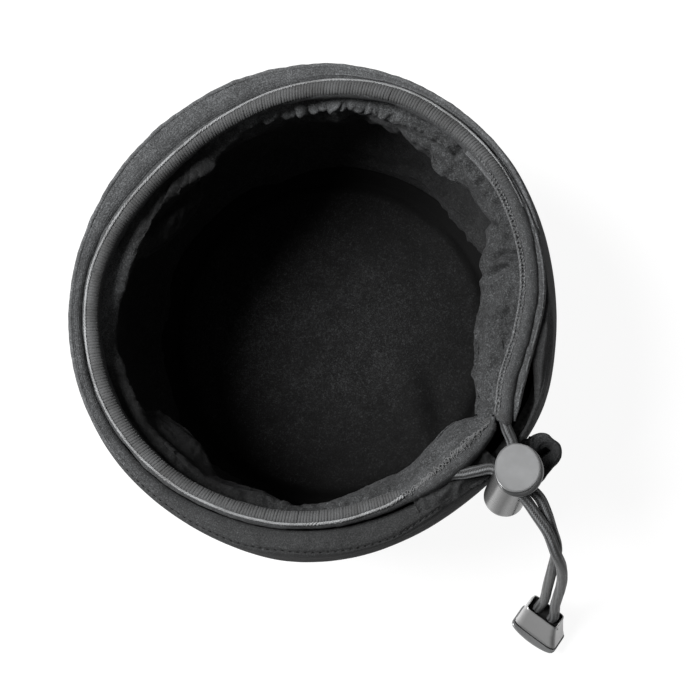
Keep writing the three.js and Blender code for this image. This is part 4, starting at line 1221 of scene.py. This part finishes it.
# ------------------------------------------------------------------ closed front disc, underneath
prof = np.array([[0.01, 0.0], [20, 0.0], [45, 0.0], [60, 0.0], [66, 0.02], [67.6, 0.12], [68.3, 0.35], [68.5, 0.6], [68.3, 0.95], [66, 1.05], [40, 1.05], [0.01, 1.05]])
aa = np.arange(0, 360, 1.5)
P = np.stack([prof[None, :, 0] * np.cos(aa * RAD)[:, None], prof[None, :, 0] * np.sin(aa * RAD)[:, None], np.broadcast_to(prof[None, :, 1], (len(aa), len(prof)))], -1)
build("front_disc_fabric", [grid(P, (True, False), (np.append(aa, 360) * 0.12, np.append(np.cumsum(np.hypot(*np.diff(prof, axis=0, prepend=prof[:1]).T)), 145) / 10.0), flip=True)],
      mat_outer, replaces=["front_panel_shell"])
parts = []
for i in range(340):
    a = i * 360 / 340 + rng.normal(0, 0.06)
    pts = polar(a + np.array([0, 0.12, 0.22, 0.3]), np.array([68.2, 68.8, 69.5, 70.1]), np.array([0.95, 0.72, 0.78, 1.25]))
    parts.append(tube(pts, 0.24, 5))
build("front_seam_stitches", parts, mat_stitch, replaces=["front_panel_seam"])

# ------------------------------------------------------------------ cord lock
def local(o, X, Y, Z, pts):
    pts = np.asarray(pts, float)
    return o + pts[..., 0:1] * X + pts[..., 1:2] * Y + pts[..., 2:3] * Z


def lathe(profile, n=96, sx=1.0, sy=1.0):
    prof = np.asarray(profile, float)
    a = np.arange(n) * 2 * math.pi / n
    P = np.stack([prof[None, :, 0] * np.cos(a)[:, None] * sx, prof[None, :, 0] * np.sin(a)[:, None] * sy,
                  np.broadcast_to(prof[None, :, 1], (n, len(prof)))], -1)
    return P


def rounded(profile, radius=0.35, steps=4):
    """The open profile with each of its inner corners rounded."""
    p = [np.asarray(q, float) for q in profile]
    out = [p[0]]
    for a, b, c in zip(p, p[1:], p[2:]):
        la, lc = np.linalg.norm(a - b), np.linalg.norm(c - b)
        d = min(radius, la * 0.45, lc * 0.45)
        s, e = b + (a - b) / la * d, b + (c - b) / lc * d
        for u in np.linspace(0, 1, steps):
            out.append((1 - u) ** 2 * s + 2 * u * (1 - u) * b + u ** 2 * e)
    out.append(p[-1])
    return np.array(out)


def lathe_part(profile, o, X, Y, Z, n=96, sx=1.0, sy=1.0, closed=False):
    P = lathe(profile, n, sx, sy)
    W = local(o, X, Y, Z, P)
    U = np.arange(n + 1) * 0.045
    V = np.append(np.cumsum(np.hypot(*np.diff(np.asarray(profile, float), axis=0, prepend=np.asarray(profile[:1], float)).T)), 99) / 10.0
    if closed:
        return grid(W, (True, True), (U, V))
    return grid(W, (True, False), (U, V))


def cut_slot(ob, x0, x1, y0, y1, z0, z1, o, X, Y, Z):
    """Cuts a straight slot through ob along local X."""
    c = [(x, y, z) for x in (x0, x1) for y in (y0, y1) for z in (z0, z1)]
    me = bpy.data.meshes.new("cutter")
    me.from_pydata((local(o, X, Y, Z, c) * MM).tolist(), [],
                   [(0, 1, 3, 2), (4, 6, 7, 5), (0, 4, 5, 1), (2, 3, 7, 6), (0, 2, 6, 4), (1, 5, 7, 3)])
    cutter = bpy.data.objects.new("cutter", me)
    scene.collection.objects.link(cutter)
    bev = cutter.modifiers.new("round", "BEVEL")
    bev.width = 0.0009
    bev.segments = 4
    mod = ob.modifiers.new("cut", "BOOLEAN")
    mod.operation, mod.solver, mod.object = "DIFFERENCE", "EXACT", cutter
    dg = bpy.context.evaluated_depsgraph_get()
    done = bpy.data.meshes.new_from_object(ob.evaluated_get(dg))
    ob.modifiers.clear()
    old = ob.data
    ob.data = done
    bpy.data.meshes.remove(old)
    bpy.data.objects.remove(cutter)
    bpy.data.meshes.remove(me)
    return ob


def sharpen(ob, angle=38):
    ob.data.set_sharp_from_angle(angle=angle * RAD)


LF = (LOCK_O, LOCK_X, LOCK_Y, LOCK_Z)
prof = rounded([[0.0, -14.2], [5.2, -14.2], [6.45, -13.75], [6.72, -12.6], [6.75, -4.0], [6.75, 1.0], [6.7, 2.6], [6.35, 3.1], [5.9, 3.05], [5.85, 1.0], [5.85, -12.3], [0.0, -12.5]], 0.5, 5)
# the barrel's streaks are painted reflections
barrel = build("cord_lock_barrel_shell", [lathe_part(prof, *LF)], mat_barrel_reflections, body="cord_lock", replaces=["cord_lock_barrel"])
cut_slot(barrel, -9, 3, -4.2, 4.4, -2.6, 2.55, *LF)
cut_slot(barrel, 1.5, 9, -3.0, 4.9, -2.65, 2.05, *LF)
cut_slot(barrel, -9, -1.2, 0.5, 7.4, -2.5, 2.45, *LF)
cut_slot(barrel, 1.8, 9.2, -0.9, 4.8, -3.7, 1.6, *LF)
sharpen(barrel)

FACE, SKIRT = (517.3, 468.0, 23.0, 24.7), (519.2, 470.6, 24.5, 26.9)
stem = rounded([[0.0, -3.9], [5.1, -3.9], [5.5, -3.5], [5.5, 5.35], [0.0, 5.35]], 0.3, 4)


def on_plane(px, py, height):
    """Points of the plane across the lock's axis at that height that show at those places."""
    d = (cam_rot @ np.stack([(px - 350) / FOCAL_PX, -(py - 350) / FOCAL_PX, -np.ones_like(px)])).T
    p0 = LOCK_O + height * LOCK_Z
    return cam_pos + d * (((p0 - cam_pos) @ LOCK_Z) / (d @ LOCK_Z))[:, None]


def oval(cx, cy, rx, ry, height, scale=1.0, n=128):
    a = np.arange(n) * 2 * math.pi / n
    full = 1 + 0.014 * np.cos(3 * a + 0.6)
    return on_plane(cx + scale * rx * full * np.cos(a), cy - scale * ry * full * np.sin(a), height)


# the stem uses the dark copy of the satin: painted shade
button = build("cord_lock_button_stem", [lathe_part(stem, *LF)], mat_lock_shaded, body="lock_button", replaces=["cord_lock_button"])
cut_slot(button, -9, 9, -4.65, 4.65, -3.4, 4.85, *LF)
cut_slot(button, -9, -1.2, 0.5, 7.4, -3.0, 4.75, *LF)
sharpen(button)
# the face uses the light copy of the satin: painted light
rings = [oval(*FACE, 7.28 + 0.05 * (1 - k ** 2), k) for k in (0.0008, 0.2, 0.4, 0.6, 0.8, 0.9)]
rings += [oval(*FACE, 7.27, 0.955), oval(*FACE, 7.20, 0.985), oval(*FACE, 7.02, 1.0), oval(*FACE, 6.6, 0.99)]
head_ob = build("cord_lock_button_face", [grid(np.array(rings), (False, True), (np.arange(len(rings) + 1) * 0.1, np.arange(129) * 0.04), flip=True)],
                mat_lock_lit, body="lock_button")
# the rim uses the dark copy of the satin: painted shade
rings = [oval(*FACE, 6.75, 0.9), oval(*FACE, 6.75, 0.985)]
for k in np.linspace(0, 1, 7):
    f = 1 - (1 - k) ** 2
    rings.append(oval(*[lerp(a, b, f) for a, b in zip(FACE, SKIRT)], 6.75 - 0.95 * k ** 2, 0.995))
rings += [oval(*SKIRT, 5.45, 0.99), oval(*SKIRT, 5.25, 0.95), oval(*SKIRT, 5.2, 0.7), oval(*SKIRT, 5.2, 0.02)]
build("cord_lock_button_rim", [grid(np.array(rings), (False, True), (np.arange(len(rings) + 1) * 0.1, np.arange(129) * 0.04), flip=True)],
      mat_lock_shaded, body="lock_button")

t = np.linspace(0, 1, 260)
w = t * 4.5 * 2 * math.pi
coil = local(*LF, np.stack([4.3 * np.cos(w), 4.3 * np.sin(w), -10.8 + 6.2 * t], -1))
build("cord_lock_coil_spring", [tube(coil, 0.35, 10)], mat_spring, body="cord_lock", replaces=["cord_lock_spring"])

# ------------------------------------------------------------------ cord end
EF = (END_O, END_X, END_Y, END_Z)


def rounded_rect(hx, hy, r, n=64):
    """Points of a rounded rectangle, starting at +X."""
    a = np.linspace(0, 2 * math.pi, n, endpoint=False) + math.pi / n
    c, s = np.cos(a), np.sin(a)
    p = 2.0 / (0.16 + 0.45 * r / min(hx, hy))
    k = (np.abs(c) ** p + np.abs(s) ** p) ** (-1 / p)
    return np.stack([hx * c * k, hy * s * k], -1)


def section(hx, hy, r, z, bow=0.0, n=64):
    q = rounded_rect(hx, hy, r, n)
    zz = z - bow * (1 - (q[:, 0] / hx) ** 2)
    return np.concatenate([q, zz[:, None]], 1)


def ends(hx, z):
    return section(0.05 * hx, 0.02, 0.02, z)


def lean(W, S):
    """The lower part of the cord end lies a little further out."""
    f = smooth(-1.0, -11.0, S[..., 2])
    return W + f[..., None] * np.array([-1.1, -1.9, 0.0])


outer = [section(6.45, 3.25, 0.4, 0.05), section(6.75, 3.5, 0.5, -0.15), section(7.1, 3.7, 0.6, -2.0), section(7.75, 3.95, 0.7, -5.2),
         section(8.4, 4.25, 0.8, -8.3), section(8.95, 4.5, 0.8, -9.9, 0.55), section(8.95, 4.48, 0.8, -10.2, 0.65)]
inner_s = [section(8.1, 3.8, 0.7, -10.2, 0.5), section(7.4, 3.3, 0.6, -8.0), section(6.1, 2.7, 0.5, -2.6), section(5.9, 2.6, 0.5, -2.4)]
S = np.array([ends(1, -1.9), section(6.2, 3.0, 0.4, -1.85), section(6.25, 3.05, 0.4, 0.0)] + outer + inner_s + [ends(1, -2.4)])
# the body's colour has painted highlights on its narrow sides
end_body = build("cord_end_body_shell", [grid(lean(local(*EF, S), S), (False, True), (np.arange(len(S) + 1) * 0.2, np.linspace(0, 4.6, 65)), flip=False)],
                 mat_end_body_highlights, replaces=["cord_end_body"])
sharpen(end_body, 32)
# painted shade: the recess in the top is a near-black plate
plate = np.array([ends(1, -1.6), section(6.12, 2.92, 0.4, -1.62), section(6.2, 3.0, 0.4, -0.12), section(6.3, 3.1, 0.4, 0.08), section(6.12, 2.92, 0.4, -0.3)])
build("cord_end_top_recess", [grid(local(*EF, plate), (False, True), None, flip=False)], mat_black_shade_and_mark)
band = np.array([section(8.7, 4.3, 0.7, -9.9, 0.6), section(9.0, 4.56, 0.8, -10.12, 0.64), section(9.08, 4.68, 0.8, -10.75, 0.74), section(8.7, 4.3, 0.7, -11.1, 0.7)])
build("cord_end_slot_shadow", [grid(lean(local(*EF, band), band), (False, True), None, flip=True)], mat_black_shade_and_mark)
S = np.array([ends(1, -9.4), section(6.6, 2.5, 0.4, -9.45), section(6.9, 2.6, 0.4, -9.7), section(6.9, 2.6, 0.4, -10.75), section(8.9, 4.4, 0.8, -10.75, 0.65),
              section(9.25, 4.9, 0.8, -10.8, 0.75), section(9.5, 5.15, 0.8, -11.05, 0.85), section(9.45, 5.15, 0.8, -11.6, 0.95), section(9.2, 4.6, 0.8, -11.95, 1.05), section(7.5, 3.4, 0.8, -12.1, 1.05), section(0.45, 0.02, 0.02, -12.1, 1.05)])
S[4:10, :, 1] -= 0.35 + 1.0 * (1 - (S[4:10, :, 0] / 9.5) ** 2)
end_cap = build("cord_end_flap", [grid(lean(local(*EF, S), S), (False, True), (np.arange(len(S) + 1) * 0.2, np.linspace(0, 4.6, 65)), flip=True)],
                mat_end, body="cord_end_flap", replaces=["cord_end_cap"])
sharpen(end_cap, 32)
# the small round mark on the end's narrow side
P = local(*EF, [[6.9, -1.7, -2.4], [7.02, -1.7, -2.4], [7.26, -1.7, -2.45], [7.33, -1.7, -2.45]])
build("cord_end_side_mark", [tube(P, 0.5, 20)], mat_black_shade_and_mark)

# the knot that holds both cords inside the cord end
kt = np.linspace(0, 2 * math.pi, 121)[:-1]
knot_line = np.stack([3.0 * np.sin(kt) + 0.9 * np.sin(2 * kt), 0.75 * np.cos(3 * kt), -5.7 + 0.9 * np.cos(kt) - 0.5 * np.cos(2 * kt)], -1)
knot = build("cord_knot_loop", [tube(local(*EF, knot_line), 0.95, 12, closed=True)], mat_cord, replaces=["cord_knot"])

# ------------------------------------------------------------------ pull tab
UPPER = [(512, 444), (519.6, 441), (527, 438.6), (534, 434.6), (541, 432.6), (548, 434.0), (552.6, 438.4), (557.6, 443.0), (561.2, 449), (561.2, 455), (557.4, 461), (552.4, 467.5), (548.2, 473.8), (543.2, 480.5), (535, 486), (524, 485), (512, 478)]
MIDDLE = [(514, 452), (522.0, 453), (529, 453.5), (534.5, 451.5), (538.5, 448.4), (542.5, 446.2), (547.0, 445.2), (551.6, 446.0), (555.2, 449.0), (555.6, 453.2), (552.4, 458.6), (548.2, 463.8), (544.6, 469.2), (540.5, 474.0), (532, 477.0), (522, 474), (512, 471)]
BELOW = [(514, 456), (521.0, 458), (527, 458.5), (532.5, 456.5), (537.0, 453.5), (540.0, 450.8), (543.5, 449.4), (545.6, 450.2), (546.4, 451.4), (545.2, 452.6), (542.6, 454.4), (539.8, 457.0), (537.0, 460.6), (533.5, 464.5), (528, 468.0), (521, 471), (512, 468)]
top_l = centripetal([seen(x, y, 77.0) for x, y in UPPER], 170)
mid_l = centripetal([seen(x, y, 73.5) for x, y in MIDDLE], 170)
low_l = centripetal([seen(x, y, 63.5) for x, y in BELOW], 170)
bulge = top_l * 0.45 + mid_l * 0.55 + np.array([0, 0, 1.6])
tan = unit(np.gradient(top_l + mid_l, axis=0))
t = np.linspace(0, 1, 15)[None, :, None]
first = (1 - t) ** 2 * top_l[:, None] + 2 * t * (1 - t) * bulge[:, None] + t ** 2 * mid_l[:, None]
t = np.linspace(0, 1, 14)[None, 1:, None]
sheet = np.concatenate([first, lerp(mid_l[:, None], low_l[:, None], t)], 1)
cross = unit(np.cross(np.gradient(sheet, axis=0), np.gradient(sheet, axis=1)))
q = np.linspace(0, 1, sheet.shape[1])
half = 0.9 * np.sqrt(np.clip(1 - (2 * q - 1) ** 8, 0.02, 1))[None, :, None]
P = np.concatenate([sheet + cross * half, (sheet - cross * half)[:, ::-1]], 1)
nor = np.concatenate([cross, cross[:, ::-1]], 1)
nse = fbm(P, 3.6, 2, 2.2) * 0.55 + fbm(P, 11.0, 1, 5.0) * 0.8
P = make_room(P + nse[..., None] * nor)
tab = build("pull_tab_loop", [grid(P, (False, True), (np.arange(171) * 0.022, np.linspace(0, 2.7, P.shape[1] + 1)), caps=(True, True))], mat_tab, replaces=["pull_tab"])
nor = cross[:, 4]
parts = []
for k0, sgn in ((16, 1.0), (24, 1.0)):
    for i in range(8):
        c = (top_l + (mid_l - top_l) * ((i + 0.8) / 9.2))[k0:k0 + 4] + nor[k0:k0 + 4] * sgn * np.array([[0.9], [1.3], [1.3], [0.9]])
        parts.append(tube(c, 0.2, 6))
        c = (top_l + (mid_l - top_l) * ((i + 0.8) / 9.2))[k0:k0 + 4] - nor[k0:k0 + 4] * sgn * np.array([[0.9], [1.3], [1.3], [0.9]])
        parts.append(tube(c, 0.2, 6))
build("pull_tab_stitches", parts, mat_stitch, replaces=["pull_tab_stitching"])

# ------------------------------------------------------------------ floor and light
me = bpy.data.meshes.new("floor")
me.from_pydata([(-3, -3, -0.0003), (3, -3, -0.0003), (3, 3, -0.0003), (-3, 3, -0.0003)], [], [(0, 1, 2, 3)])
floor = bpy.data.objects.new("floor", me)
scene.collection.objects.link(floor)
f = Nodes("floor_white")
f.bsdf.inputs["Base Color"].default_value = (0.12, 0.12, 0.12, 1)
f.bsdf.inputs["Emission Color"].default_value = (1, 1, 1, 1)
f.bsdf.inputs["Emission Strength"].default_value = 0.925
f.set(rough=0.9, spec=0.1)
me.materials.append(f.mat)
floor.visible_diffuse = False

world = bpy.data.worlds.new("studio")
world.use_nodes = True
world.node_tree.nodes["Background"].inputs[0].default_value = (1.0, 1.0, 1.0, 1)
world.node_tree.nodes["Background"].inputs[1].default_value = 0.15
scene.world = world


def area(name, azimuth, elevation, distance, size, power):
    d = bpy.data.lights.new(name, "AREA")
    d.shape = "DISK"
    d.size = size
    d.energy = power
    o = bpy.data.objects.new(name, d)
    v = Vector((math.cos(azimuth * RAD) * math.cos(elevation * RAD), math.sin(azimuth * RAD) * math.cos(elevation * RAD), math.sin(elevation * RAD)))
    o.location = v * distance
    o.rotation_mode = "QUATERNION"
    o.rotation_quaternion = v.to_track_quat("Z", "Y")
    scene.collection.objects.link(o)
    return o


area("key", 116, 56, 1.6, 0.80, 46)
side = area("side", 8, 26, 1.3, 0.6, 2.1)
side.visible_diffuse = False

scene.view_settings.view_transform = "Standard"
